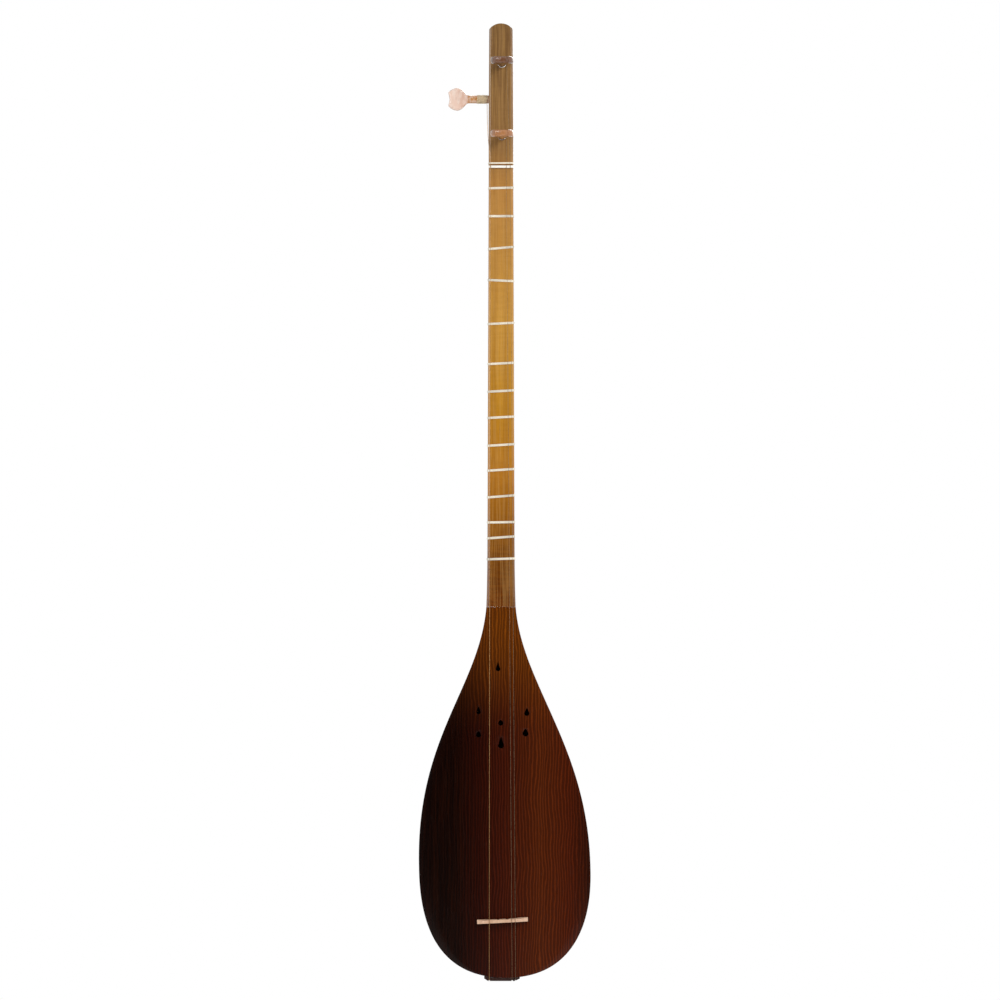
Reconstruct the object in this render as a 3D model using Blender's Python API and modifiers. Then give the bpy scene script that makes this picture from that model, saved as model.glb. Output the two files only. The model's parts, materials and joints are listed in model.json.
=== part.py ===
# A long-necked tanbur: a bowl of nine ribs, a soundboard, neck and head in one stick, fourteen
# tied gut frets, a loose bridge, three strings and three friction pegs.
#
# Metres, +Z up the neck, the front faces -Y. The front of the soundboard and of the neck lies in
# the plane y = 0. The origin is the middle of the flat lower face of the string holder, and +X
# is the treble side.

import math

import bmesh
import bpy
from mathutils import Matrix, Vector

# Room between pieces that touch, and how far a cutter runs past what it cuts
GAP = 0.0003
OVERSHOOT = 0.0020

# Bowl and soundboard: half width and depth behind the board, with the handles of their curves
TAIL_Z = 0.0030
WIDEST_Z = 0.1114
JOINT_Z = 0.3630
HALF_WIDTH = 0.0833
BOWL_DEPTH = 0.1320
JOINT_HALF_WIDTH = 0.0143
JOINT_DEPTH = 0.0234
TAIL_WIDTH_HANDLE = 0.0853
TAIL_DEPTH_HANDLE = 0.1000
BELOW_WIDEST_HANDLE = 0.0203
ABOVE_WIDEST_HANDLE = 0.1218
JOINT_HANDLE = 0.0775
JOINT_WIDTH_FLARE = 0.0066
JOINT_DEPTH_FLARE = 0.0260
SQUARENESS = 2.2
LEAN = 0.0044
LEAN_LOW_Z = 0.050
LEAN_HIGH_Z = 0.273
BOARD_THICKNESS = 0.0028
RIM_Y = BOARD_THICKNESS + GAP

# Ribs
RIBS = 9
RIB_THICKNESS = 0.0025
RIB_ROUNDNESS = 0.6
RIB_ACROSS = 3
RIB_TIP = 0.06
RINGS_BELOW_WIDEST = 10
RINGS_ABOVE_WIDEST = 12

# Sound holes: x, z, radius, and how far the tip of the drop stands above its middle
SOUND_HOLES = (
    (-0.0029, 0.3030, 0.0022, 0.0070),
    (-0.0218, 0.2612, 0.0022, 0.0055),
    (0.0251, 0.2598, 0.0024, 0.0055),
    (-0.0003, 0.2505, 0.0025, 0.0032),
    (-0.0218, 0.2389, 0.0024, 0.0040),
    (0.0238, 0.2404, 0.0029, 0.0045),
    (0.0000, 0.2287, 0.0029, 0.0085),
)
HOLE_STEPS = 10

# Neck and head: height, half width and depth at each place where the taper changes
NECK_STATIONS = (
    (JOINT_Z + GAP, JOINT_HALF_WIDTH, RIM_Y + JOINT_DEPTH),
    (0.3780, 0.0138, 0.0249),
    (0.4000, 0.0134, 0.0236),
    (0.4350, 0.0132, 0.0230),
    (0.7900, 0.0120, 0.0200),
    (0.8300, 0.0121, 0.0200),
    (0.9400, 0.0114, 0.0190),
)
EDGE_RADIUS = 0.0025
HEAD_TOP_Z = 0.9300
HEAD_ARC_RADIUS = 0.0144
HEAD_CUT_HALF_WIDTH = 0.0250
TONGUE_BOTTOM_Z = 0.3250
TONGUE_HALF_WIDTH = 0.0150
TONGUE_DEPTH = 0.0240

# Nut, and the gut winding above it
NUT_Z = 0.7907
NUT_THICKNESS = 0.0023
NUT_HEIGHT = 0.0019
NUT_HALF_WIDTH = 0.0120
NUT_DROOP = 0.0010
NUT_TIE_Z = 0.7942
NUT_TIE_FRONT = 0.0044
NUT_TIE_TURNS = 2

# Notches in the nut and the bridge, and how high a string's middle sits above their bottom
NOTCH_DEPTH = 0.0005
NOTCH_HALF_WIDTH = 0.0006
STRING_SEAT = 0.0007

# Frets: cents above the open string, and degrees by which the treble end stands higher
FRET_CENTS = (49, 117, 197, 283, 403, 523, 611, 699, 797, 890, 995, 1104, 1171, 1271)
FRET_SLANTS = (1.1, -0.3, 4.6, -2.9, 2.3, 2.6, 2.6, 2.6, 3.1, 3.4, 4.0, 0.6, 3.7, 1.4)
GUT_RADIUS = 0.00025
GUT_PITCH = 0.00096
FRET_TURNS = 3
WRAP_SWELL = 1.06

# Bridge, its own measures along its length and above its feet
BRIDGE_X = 0.00145
BRIDGE_Z = 0.0588
BRIDGE_TILT = math.radians(3.0)
BRIDGE_HEIGHT = 0.0085
BRIDGE_THICKNESS = 0.0044
BRIDGE_TOP_SHARE = 0.70
BRIDGE_END = ((0.0247, 0.0000), (0.0247, 0.0030), (0.0190, 0.0072), (0.0150, BRIDGE_HEIGHT))
BRIDGE_ARCH = ((-0.0170, 0.0), (-0.0150, 0.0016), (-0.0080, 0.0032), (0.0, 0.0036))

# String holder, its pins, and the end block
HOLDER_LEFT = -0.0163
HOLDER_RIGHT = 0.0183
HOLDER_FOOT_LEFT = -0.0126
HOLDER_FOOT_RIGHT = 0.0136
HOLDER_CLIP_Z = 0.0024
HOLDER_TOP_Z = 0.0065
HOLDER_FRONT_Y = -0.0006
HOLDER_BACK_Y = 0.0130
GROOVE_WIDTH = 0.0012
GROOVE_DEPTH = 0.00095
PIN_Z = 0.00145
PIN_RADIUS = 0.0005
PIN_HEAD_RADIUS = 0.0008
PIN_HEAD_THICKNESS = 0.0006
PIN_HOLE_RADIUS = 0.00078
PIN_FRONT_Y = 0.0100
PIN_END_Y = 0.0165
BLOCK_HALF_WIDTH = 0.0240
BLOCK_BACK_Y = 0.0360
BLOCK_TOP_Z = 0.0220

# Strings: x at the holder, the bridge and the nut, and the radius
STRINGS = {
    "bass": (-0.0114, -0.0114, -0.0104, 0.000225),
    "inner": (0.0108, 0.0104, 0.0052, 0.000125),
    "outer": (0.0141, 0.0138, 0.0089, 0.000125),
}

# Pegs, along their own axis from the face of the head outwards
SIDE_PEG_Z = 0.8570
UPPER_PEG_Z = 0.8912
LOWER_PEG_Z = 0.8206
FRONT_PEG_X = 0.0010
SIDE_PEG_Y = 0.0102
SHAFT_RADIUS = 0.00395
SHAFT_TIP_RADIUS = 0.0034
SHAFT_LENGTH = 0.0210
SHAFT_SHOULDER = 0.0020
SHAFT_CHAMFER = 0.0005
PEG_CLEARANCE = 0.0002
ROUND_STEPS = 24
PADDLE_LENGTH = 0.0185
PADDLE_HALF_WIDTH = 0.0111
PADDLE_THICKNESS = 0.0068
PADDLE_BEVEL = 0.0020
PADDLE_ROOT = 0.0060
PADDLE_NOTCH = 0.0014

# String windings on the pegs: where the first turn lies along the peg, turns and pitch
WINDING_STEPS = 10
WINDINGS = {
    "bass": (0.0010, 8, 0.00130),
    "inner": (0.0036, 6, 0.00080),
    "outer": (0.0036, 6, 0.00080),
}
STRING_END_CLEARANCE = 0.0015


def start_scene():
    """Empties the scene and makes the collection of the parts and the one of the cutters."""
    for thing in list(bpy.data.objects):
        bpy.data.objects.remove(thing, do_unlink=True)
    parts = bpy.data.collections.new("tanbur")
    cutters = bpy.data.collections.new("cutters")
    bpy.context.scene.collection.children.link(parts)
    bpy.context.scene.collection.children.link(cutters)
    cutters.hide_render = True
    return parts, cutters


PARTS, CUTTERS = start_scene()


def linear(channel):
    """One 0 to 255 screen value as the linear value that a shader takes."""
    share = channel / 255.0
    return share / 12.92 if share <= 0.04045 else ((share + 0.055) / 1.055) ** 2.4


def finish(name, rgb, roughness, metallic=0.0):
    """A plain shader with the colour, roughness and metallic value of one material."""
    material = bpy.data.materials.new(name)
    material.use_nodes = True
    shader = material.node_tree.nodes["Principled BSDF"]
    shader.inputs["Base Color"].default_value = [linear(value) for value in rgb] + [1.0]
    shader.inputs["Roughness"].default_value = roughness
    shader.inputs["Metallic"].default_value = metallic
    return material


MATERIALS = {
    "neck_wood": ((170, 112, 52), 0.25),
    "board_wood": ((66, 28, 9), 0.30),
    "rib_wood": ((120, 66, 28), 0.30),
    "block_wood": ((190, 150, 105), 0.70),
    "holder_wood": ((58, 26, 14), 0.35),
    "peg_wood": ((176, 128, 92), 0.25),
    "bridge_wood": ((208, 178, 150), 0.45),
    "bone": ((238, 220, 198), 0.35),
    "gut": ((244, 226, 192), 0.40),
    "steel": ((205, 202, 196), 0.25, 1.0),
    "bronze": ((196, 150, 96), 0.30, 1.0),
    "brass": ((190, 150, 80), 0.35, 1.0),
}
FINISHES = {name: finish(name, *values) for name, values in MATERIALS.items()}


def place(thing, material=None, parent=None):
    """Puts an object in the parts, or among the cutters when it has no material."""
    if material:
        PARTS.objects.link(thing)
        own = FINISHES[material].copy()
        own.name = thing.name + "_finish"
        thing.data.materials.append(own)
    else:
        CUTTERS.objects.link(thing)
        thing.hide_render = True
        thing.display_type = "WIRE"
    thing.parent = parent
    return thing


def smooth(mesh, degrees=35.0):
    """Shades a mesh smooth, apart from edges sharper than the given angle."""
    mesh.shade_smooth()
    mesh.set_sharp_from_angle(angle=math.radians(degrees))


def loft(name, rings, cap_in_strips=False):
    """A closed mesh through rings with the same number of points, given as one object."""
    form = bmesh.new()
    rows = [[form.verts.new(point) for point in ring] for ring in rings]
    count = len(rows[0])
    for low, high in zip(rows, rows[1:]):
        for i in range(count):
            j = (i + 1) % count
            form.faces.new((low[i], low[j], high[j], high[i]))
    for row in (rows[0], rows[-1]):
        if cap_in_strips:
            for i in range(count // 2 - 1):
                form.faces.new((row[i], row[i + 1], row[count - 2 - i], row[count - 1 - i]))
        else:
            form.faces.new(row)
    bmesh.ops.recalc_face_normals(form, faces=form.faces)
    mesh = bpy.data.meshes.new(name)
    form.to_mesh(mesh)
    form.free()
    smooth(mesh)
    return bpy.data.objects.new(name, mesh)


def flat_curve(name, outlines, thickness, bevel=0.0):
    """A flat filled curve of the given thickness; the first outline is outside, the rest holes."""
    curve = bpy.data.curves.new(name, "CURVE")
    curve.dimensions = "2D"
    curve.fill_mode = "BOTH"
    curve.extrude = thickness / 2 - bevel
    curve.bevel_depth = bevel
    curve.bevel_resolution = 1
    curve.offset = -bevel
    for outline in outlines:
        spline = curve.splines.new("POLY")
        spline.points.add(len(outline) - 1)
        for point, (x, y) in zip(spline.points, outline):
            point.co = (x, y, 0.0, 1.0)
        spline.use_cyclic_u = True
    return bpy.data.objects.new(name, curve)


def as_mesh(thing, matrix):
    """Turns a curve object into a mesh object, its caps welded and its points moved by a matrix."""
    bpy.context.scene.collection.objects.link(thing)
    bpy.context.view_layer.update()
    graph = bpy.context.evaluated_depsgraph_get()
    mesh = bpy.data.meshes.new_from_object(thing.evaluated_get(graph))
    form = bmesh.new()
    form.from_mesh(mesh)
    bmesh.ops.remove_doubles(form, verts=form.verts, dist=0.000001)
    bmesh.ops.transform(form, matrix=matrix, verts=form.verts)
    bmesh.ops.recalc_face_normals(form, faces=form.faces)
    form.to_mesh(mesh)
    form.free()
    name = thing.name
    bpy.data.objects.remove(thing)
    mesh.name = name
    return bpy.data.objects.new(name, mesh)


def upright(y):
    """The matrix that stands a flat curve up in the plane at y, its own Y pointing up."""
    return Matrix.Translation((0.0, y, 0.0)) @ Matrix.Rotation(math.radians(90.0), 4, "X")


def tube(name, points, radius, sides_step=2):
    """A closed tube along points, as a curve with filled caps."""
    curve = bpy.data.curves.new(name, "CURVE")
    curve.dimensions = "3D"
    curve.bevel_depth = radius
    curve.bevel_resolution = sides_step
    curve.use_fill_caps = True
    spline = curve.splines.new("POLY")
    spline.points.add(len(points) - 1)
    for target, point in zip(spline.points, points):
        target.co = (*point, 1.0)
    return bpy.data.objects.new(name, curve)


def turned(name, profile, steps=ROUND_STEPS):
    """A turned solid about its own Z axis, from a profile of radius and height, top to bottom."""
    mesh = bpy.data.meshes.new(name)
    points = [(radius, 0.0, height) for radius, height in profile]
    mesh.from_pydata(points, [(i, i + 1) for i in range(len(points) - 1)], [])
    thing = bpy.data.objects.new(name, mesh)
    screw = thing.modifiers.new("turn", "SCREW")
    screw.steps = steps
    screw.render_steps = steps
    screw.use_merge_vertices = True
    screw.merge_threshold = 0.00001
    return thing


def box(name, low, high):
    """A plain box between two corners."""
    form = bmesh.new()
    bmesh.ops.create_cube(form, size=1.0)
    size = Vector(high) - Vector(low)
    middle = (Vector(high) + Vector(low)) / 2
    stretch = Matrix.Translation(middle) @ Matrix.Diagonal((*size, 1.0))
    bmesh.ops.transform(form, matrix=stretch, verts=form.verts)
    mesh = bpy.data.meshes.new(name)
    form.to_mesh(mesh)
    form.free()
    return bpy.data.objects.new(name, mesh)


def cut(thing, cutter, operation="DIFFERENCE"):
    """Adds a Boolean with a cutter to an object."""
    boolean = thing.modifiers.new(cutter.name, "BOOLEAN")
    boolean.operation = operation
    boolean.object = cutter
    boolean.solver = "EXACT"


def bezier(ends_and_handles, t):
    """The value of a cubic curve with four control values at t."""
    a, b, c, d = ends_and_handles
    s = 1.0 - t
    return s ** 3 * a + 3 * s * s * t * b + 3 * s * t * t * c + t ** 3 * d


def bowl_profile(t):
    """Height, half width and depth of the bowl: t is 0 at the tail, 1 at the widest, 2 at the neck."""
    if t <= 1.0:
        z = (TAIL_Z, TAIL_Z, WIDEST_Z - BELOW_WIDEST_HANDLE, WIDEST_Z)
        width = (0.0, TAIL_WIDTH_HANDLE, HALF_WIDTH, HALF_WIDTH)
        depth = (0.0, TAIL_DEPTH_HANDLE, BOWL_DEPTH, BOWL_DEPTH)
        return bezier(z, t), bezier(width, t), bezier(depth, t)
    t = t - 1.0
    z = (WIDEST_Z, WIDEST_Z + ABOVE_WIDEST_HANDLE, JOINT_Z - JOINT_HANDLE, JOINT_Z)
    width = (HALF_WIDTH, HALF_WIDTH, JOINT_HALF_WIDTH + JOINT_WIDTH_FLARE, JOINT_HALF_WIDTH)
    depth = (BOWL_DEPTH, BOWL_DEPTH, JOINT_DEPTH + JOINT_DEPTH_FLARE, JOINT_DEPTH)
    return bezier(z, t), bezier(width, t), bezier(depth, t)


def lean(z):
    """How far the middle of the bowl stands to the treble side: the old bowl isn't quite straight."""
    share = (LEAN_HIGH_Z - z) / (LEAN_HIGH_Z - LEAN_LOW_Z)
    share = min(1.0, max(0.0, share))
    return LEAN * share * share * (3.0 - 2.0 * share)


def rounded(value):
    """A cosine or sine squared off a little, so that the section is fuller than an ellipse."""
    return math.copysign(abs(value) ** (2.0 / SQUARENESS), value)


def bowl_point(t, angle, inset=0.0):
    """A point of the bowl's outer face, or as far inside it as inset says."""
    z, width, depth = bowl_profile(t)
    x = lean(z) + width * rounded(math.cos(angle))
    point = Vector((x, RIM_Y + depth * rounded(math.sin(angle)), z))
    return point - bowl_normal(t, angle) * inset if inset else point


def bowl_normal(t, angle, step=0.001):
    """The direction that points out of the bowl at a place."""
    along = bowl_point(t + step, angle) - bowl_point(max(t - step, 0.0), angle)
    across = bowl_point(t, angle + step) - bowl_point(t, angle - step)
    return across.cross(along).normalized()


def ring_places():
    """The values of t at which the bowl has a ring of points, from the tips of the ribs upwards."""
    low = [RIB_TIP + (1.0 - RIB_TIP) * i / RINGS_BELOW_WIDEST for i in range(RINGS_BELOW_WIDEST)]
    high = [1.0 + i / RINGS_ABOVE_WIDEST for i in range(RINGS_ABOVE_WIDEST + 1)]
    return low + high


def rib_seams(samples=720):
    """The angles between the ribs, which share out the widest section's arc evenly."""
    angles = [math.pi * i / samples for i in range(samples + 1)]
    points = [bowl_point(1.0, angle) for angle in angles]
    lengths = [0.0]
    for a, b in zip(points, points[1:]):
        lengths.append(lengths[-1] + (b - a).length)
    seams = []
    for k in range(RIBS + 1):
        wanted = lengths[-1] * k / RIBS
        seams.append(next(angle for angle, length in zip(angles, lengths) if length >= wanted - 1e-9))
    return seams


def rib(index, first_seam, last_seam):
    """One bent rib: a thin staved shell between two seams, each seam a hair open."""
    rings = []
    for t in ring_places():
        start = bowl_point(t, first_seam)
        end = bowl_point(t, last_seam)
        margin = (GAP / 2) / (end - start).length
        outer = []
        inner = []
        for i in range(RIB_ACROSS + 1):
            share = margin + (1.0 - 2.0 * margin) * i / RIB_ACROSS
            angle = first_seam + (last_seam - first_seam) * share
            on_arc = bowl_point(t, angle)
            on_chord = start.lerp(end, share)
            point = on_chord.lerp(on_arc, RIB_ROUNDNESS)
            outer.append(point)
            inner.append(point - bowl_normal(t, angle) * RIB_THICKNESS)
        rings.append(outer + inner[::-1])
    place(loft(f"rib_{index}", rings, cap_in_strips=True), "rib_wood")


def make_ribs():
    """The nine ribs, counted from the bass side to the treble side."""
    seams = rib_seams()
    for index in range(1, RIBS + 1):
        rib(index, seams[RIBS - index], seams[RIBS - index + 1])


def bowl_solid(name, inset, front_y, places, raise_last=0.0, steps=24):
    """A closed solid of the whole bowl, inset from its outer face, for cutting."""
    rings = []
    for t in places:
        arc = [bowl_point(t, math.pi * i / steps, inset) for i in range(steps + 1)]
        if front_y < RIM_Y:
            arc = [Vector((arc[0].x, front_y, arc[0].z))] + arc + [Vector((arc[-1].x, front_y, arc[-1].z))]
        rings.append(arc)
    if raise_last:
        rings.append([point + Vector((0.0, 0.0, raise_last)) for point in rings[-1]])
    return place(loft(name, rings))


def drop_outline(x, z, radius, tip):
    """The outline of one sound hole: round below, drawn up to a tip."""
    lean_in = math.acos(min(1.0, radius / tip))
    start = math.pi / 2 + lean_in
    sweep = 2 * math.pi - 2 * lean_in
    angles = [start + sweep * i / HOLE_STEPS for i in range(HOLE_STEPS + 1)]
    return [(x, z + tip)] + [(x + radius * math.cos(a), z + radius * math.sin(a)) for a in angles]


def make_soundboard():
    """The thin board that closes the bowl, with its seven holes."""
    treble_edge = []
    bass_edge = []
    for t in [RIB_TIP / 2] + ring_places():
        z, width, _ = bowl_profile(t)
        treble_edge.append((lean(z) + width, z))
        bass_edge.append((lean(z) - width, z))
    outline = [(lean(TAIL_Z), TAIL_Z)] + treble_edge + bass_edge[::-1]
    holes = [drop_outline(*hole) for hole in SOUND_HOLES]
    board = flat_curve("soundboard", [outline] + holes, BOARD_THICKNESS)
    place(as_mesh(board, upright(BOARD_THICKNESS / 2)), "board_wood")


def neck_size(z):
    """Half width and depth of the neck at a height."""
    for (z0, width0, depth0), (z1, width1, depth1) in zip(NECK_STATIONS, NECK_STATIONS[1:]):
        if z <= z1:
            break
    share = (z - z0) / (z1 - z0)
    return width0 + (width1 - width0) * share, depth0 + (depth1 - depth0) * share


def neck_section(z, grow=0.0, back_steps=6, corner_steps=3, swell=1.0, front_grow=None):
    """The outline round the neck at a height as x and y, from the middle of its back by the bass side.

    It stands outside the wood by grow, and swell spreads its round back a little more."""
    width, depth = neck_size(z)
    front = -(grow if front_grow is None else front_grow)
    side = width + grow
    back = (depth + grow - EDGE_RADIUS) * swell
    bass_back = []
    for i in range(back_steps + 1):
        angle = math.radians(90.0 + 90.0 * i / back_steps)
        reach = 1.0 + (swell - 1.0) * math.sin(angle)
        x = side * reach * rounded(math.cos(angle))
        bass_back.append((x, EDGE_RADIUS + back * rounded(math.sin(angle))))
    bass_corner = []
    for i in range(1, corner_steps + 1):
        angle = math.radians(90.0 * i / corner_steps)
        x = -(width - EDGE_RADIUS) - (EDGE_RADIUS + grow) * math.cos(angle)
        y = EDGE_RADIUS + (front - EDGE_RADIUS) * math.sin(angle)
        bass_corner.append((x, y))
    bass = bass_back + bass_corner
    return bass + [(-x, y) for x, y in bass[:0:-1]]


def make_neck():
    """Neck and head in one stick, with a tongue that goes into the bowl and holes for the pegs."""
    rings = [[Vector((x, y, z)) for x, y in neck_section(z)] for z, _, _ in NECK_STATIONS]
    neck = place(loft("neck", rings), "neck_wood")
    tongue = place(box(
        "tongue",
        (-TONGUE_HALF_WIDTH, RIM_Y, TONGUE_BOTTOM_Z),
        (TONGUE_HALF_WIDTH, TONGUE_DEPTH, JOINT_Z + OVERSHOOT),
    ))
    inner_places = [t for t in ring_places() if t > 1.3]
    inside = bowl_solid("inside_at_neck", RIB_THICKNESS + GAP, RIM_Y, inner_places, raise_last=3 * OVERSHOOT)
    cut(tongue, inside, "INTERSECT")
    cut(neck, tongue, "UNION")
    cut(neck, place(as_mesh(head_top_outline(), upright(0.0))))
    for name, frame in PEG_FRAMES.items():
        hole = place(turned(f"hole_{name}", hole_profile(name)), parent=frame)
        cut(neck, hole)


def head_top_outline(steps=12):
    """What is cut off above the domed top of the head."""
    middle_z = HEAD_TOP_Z - HEAD_ARC_RADIUS
    arc = []
    for i in range(steps + 1):
        angle = math.pi * i / steps
        arc.append((HEAD_ARC_RADIUS * math.cos(angle), middle_z + HEAD_ARC_RADIUS * math.sin(angle)))
    top_z = NECK_STATIONS[-1][0] + 2 * OVERSHOOT
    side = HEAD_CUT_HALF_WIDTH
    outline = arc + [(-side, middle_z), (-side, top_z), (side, top_z), (side, middle_z)]
    return flat_curve("above_head", [outline], 0.080)


def make_end_block():
    """The block inside the tail, shaped to the inside of the ribs."""
    block = place(box(
        "end_block",
        (lean(TAIL_Z) - BLOCK_HALF_WIDTH, RIM_Y, TAIL_Z),
        (lean(TAIL_Z) + BLOCK_HALF_WIDTH, BLOCK_BACK_Y, BLOCK_TOP_Z),
    ), "block_wood")
    tail_places = [RIB_TIP * 0.5] + [t for t in ring_places() if t < 0.95]
    inside = bowl_solid("inside_at_tail", RIB_THICKNESS + GAP, RIM_Y, tail_places)
    cut(block, inside, "INTERSECT")


def make_string_holder():
    """The dark block under the tail: clipped corners, its top fitted to the bowl, three grooves."""
    outline = [
        (HOLDER_FOOT_LEFT, 0.0),
        (HOLDER_FOOT_RIGHT, 0.0),
        (HOLDER_RIGHT, HOLDER_CLIP_Z),
        (HOLDER_RIGHT, HOLDER_TOP_Z),
        (HOLDER_LEFT, HOLDER_TOP_Z),
        (HOLDER_LEFT, HOLDER_CLIP_Z),
    ]
    depth = HOLDER_BACK_Y - HOLDER_FRONT_Y
    solid = as_mesh(flat_curve("string_holder", [outline], depth), upright(HOLDER_FRONT_Y + depth / 2))
    holder = place(solid, "holder_wood")
    tail_places = [0.02, 0.04] + [t for t in ring_places() if t < 0.6]
    cut(holder, bowl_solid("outside_at_tail", -GAP, HOLDER_FRONT_Y - OVERSHOOT, tail_places))
    for name, (x, _, _, _) in STRINGS.items():
        groove = box(
            f"groove_{name}",
            (x - GROOVE_WIDTH / 2, HOLDER_FRONT_Y - OVERSHOOT, -OVERSHOOT),
            (x + GROOVE_WIDTH / 2, HOLDER_BACK_Y + OVERSHOOT, GROOVE_DEPTH),
        )
        cut(holder, place(groove))
        length = HOLDER_BACK_Y + OVERSHOOT - (PIN_FRONT_Y - GAP)
        hole = turned(f"pin_hole_{name}", [
            (0.0, length), (PIN_HOLE_RADIUS, length), (PIN_HOLE_RADIUS, 0.0), (0.0, 0.0),
        ], steps=16)
        hole.matrix_world = pin_matrix(x, PIN_FRONT_Y - GAP)
        cut(holder, place(hole))


def pin_matrix(x, y):
    """Lays a turned pin down along +Y at the height of the pins."""
    return Matrix.Translation((x, y, PIN_Z)) @ Matrix.Rotation(math.radians(-90.0), 4, "X")


def make_hitch_pins():
    """Three small headed pins behind the string holder, one for each string."""
    length = PIN_END_Y - PIN_FRONT_Y
    head = length - PIN_HEAD_THICKNESS
    profile = [
        (0.0, length), (PIN_HEAD_RADIUS, length), (PIN_HEAD_RADIUS, head),
        (PIN_RADIUS, head), (PIN_RADIUS, 0.0), (0.0, 0.0),
    ]
    for name, (x, _, _, _) in STRINGS.items():
        pin = turned(f"pin_{name}", profile, steps=12)
        pin.matrix_world = pin_matrix(x, PIN_FRONT_Y)
        place(pin, "brass")


def notched_top(places, height):
    """The points of a top edge from the treble end to the bass end, with a notch for each string."""
    points = []
    for x in sorted(places, reverse=True):
        points.append((x + NOTCH_HALF_WIDTH, height))
        points.append((x, height - NOTCH_DEPTH))
        points.append((x - NOTCH_HALF_WIDTH, height))
    return points


def make_nut():
    """The bone nut, which stands on the neck and follows its rounded edges."""
    flat = neck_size(NUT_Z)[0] - EDGE_RADIUS
    top = notched_top([nut_x for _, _, nut_x, _ in STRINGS.values()], NUT_HEIGHT)
    low = NUT_HEIGHT - 0.0006
    outline = [(NUT_HALF_WIDTH, -NUT_DROOP), (NUT_HALF_WIDTH, low)] + top
    outline += [(-NUT_HALF_WIDTH, low), (-NUT_HALF_WIDTH, -NUT_DROOP), (-flat, 0.0), (flat, 0.0)]
    nut = flat_curve("nut", [outline], NUT_THICKNESS)
    lying = Matrix.Translation((0.0, -GAP, NUT_Z)) @ Matrix.Rotation(math.pi, 4, "X")
    place(as_mesh(nut, lying), "bone")


def make_bridge():
    """The loose bridge: two feet, an arch between them, thinner towards its notched top."""
    notches = notched_top([x - BRIDGE_X for _, x, _, _ in STRINGS.values()], BRIDGE_HEIGHT)
    treble_end = list(BRIDGE_END)
    bass_end = [(-x, y) for x, y in reversed(BRIDGE_END)]
    arch = list(BRIDGE_ARCH) + [(-x, y) for x, y in reversed(BRIDGE_ARCH[:-1])]
    outline = treble_end + notches + bass_end + arch
    bridge = as_mesh(flat_curve("bridge", [outline], BRIDGE_THICKNESS), Matrix.Identity(4))
    for vertex in bridge.data.vertices:
        share = vertex.co.y / BRIDGE_HEIGHT
        vertex.co.z *= 1.0 - (1.0 - BRIDGE_TOP_SHARE) * share
    bridge.data.transform(Matrix.Rotation(math.pi, 4, "X"))
    bridge.rotation_euler = (0.0, -BRIDGE_TILT, 0.0)
    bridge.location = (BRIDGE_X, -GAP, BRIDGE_Z)
    place(bridge, "bridge_wood")


def seat_y(height):
    """Where a string's middle runs over a bar of the given height."""
    return -(GAP + height - NOTCH_DEPTH + STRING_SEAT)


def wrap(middle_z, turns, slant=0.0, front=None):
    """The line of a gut winding round the neck, as points about its own middle."""
    grow = GAP + GUT_RADIUS
    section = neck_section(middle_z, grow, back_steps=3, corner_steps=2, swell=WRAP_SWELL, front_grow=front)
    count = len(section)
    points = []
    for k in range(turns * count + 1):
        x, y = section[k % count]
        points.append(Vector((x, y, GUT_PITCH * (k / count - turns / 2) + x * math.tan(slant))))
    return points, count


def least_gap(points, count, radius, parts=4):
    """The least clear distance between neighbouring turns of a winding, from points along it."""
    fine = []
    for a, b in zip(points, points[1:]):
        fine += [a.lerp(b, i / parts) for i in range(parts)]
    turn = count * parts
    reach = turn // 4
    gaps = []
    for i in range(len(fine) - turn):
        for j in range(i + turn - reach, min(i + turn + reach, len(fine))):
            gaps.append((fine[j] - fine[i]).length)
    return min(gaps) - 2 * radius


def fret_height(cents):
    """How high a fret stands, from its interval above the open string."""
    open_length = NUT_Z - BRIDGE_Z
    return BRIDGE_Z + open_length * 2.0 ** (-cents / 1200.0)


def make_frets():
    """The tied gut frets, each its own winding of three turns."""
    gaps = []
    for number, (cents, degrees) in enumerate(zip(FRET_CENTS, FRET_SLANTS), start=1):
        z = fret_height(cents)
        points, count = wrap(z, FRET_TURNS, math.radians(degrees))
        gaps.append(least_gap(points, count, GUT_RADIUS))
        fret = tube(f"fret_{number:02d}", points, GUT_RADIUS, sides_step=1)
        fret.location = (0.0, 0.0, z)
        place(fret, "gut")
    print(f"least gap between the turns of a fret {min(gaps) * 1000:.3f} mm")


def make_nut_tie():
    """The winding above the nut, whose front lies over the strings."""
    points, count = wrap(NUT_TIE_Z, NUT_TIE_TURNS, front=NUT_TIE_FRONT)
    tie = tube("nut_tie", points, GUT_RADIUS, sides_step=1)
    tie.location = (0.0, 0.0, NUT_TIE_Z)
    place(tie, "gut")
    gap = least_gap(points, count, GUT_RADIUS)
    print(f"least gap between the turns of the nut tie {gap * 1000:.3f} mm")


def peg_frame(name, outwards, width_way, middle):
    """An empty on a peg's axis: its Z points out of the head, its X along the paddle's width."""
    z_axis = Vector(outwards)
    x_axis = Vector(width_way)
    y_axis = z_axis.cross(x_axis)
    frame = bpy.data.objects.new(f"axis_{name}", None)
    turn = Matrix((x_axis, y_axis, z_axis)).transposed().to_4x4()
    frame.matrix_world = Matrix.Translation(middle) @ turn
    PARTS.objects.link(frame)
    return frame


def make_peg_frames():
    """The three peg axes, each starting at the face of the head that its peg leaves."""
    side_x = -neck_size(SIDE_PEG_Z)[0]
    return {
        "side": peg_frame("side", (-1, 0, 0), (0, 0, 1), (side_x, SIDE_PEG_Y, SIDE_PEG_Z)),
        "upper": peg_frame("upper", (0, -1, 0), (1, 0, 0), (FRONT_PEG_X, 0.0, UPPER_PEG_Z)),
        "lower": peg_frame("lower", (0, -1, 0), (1, 0, 0), (FRONT_PEG_X, 0.0, LOWER_PEG_Z)),
    }


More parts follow.
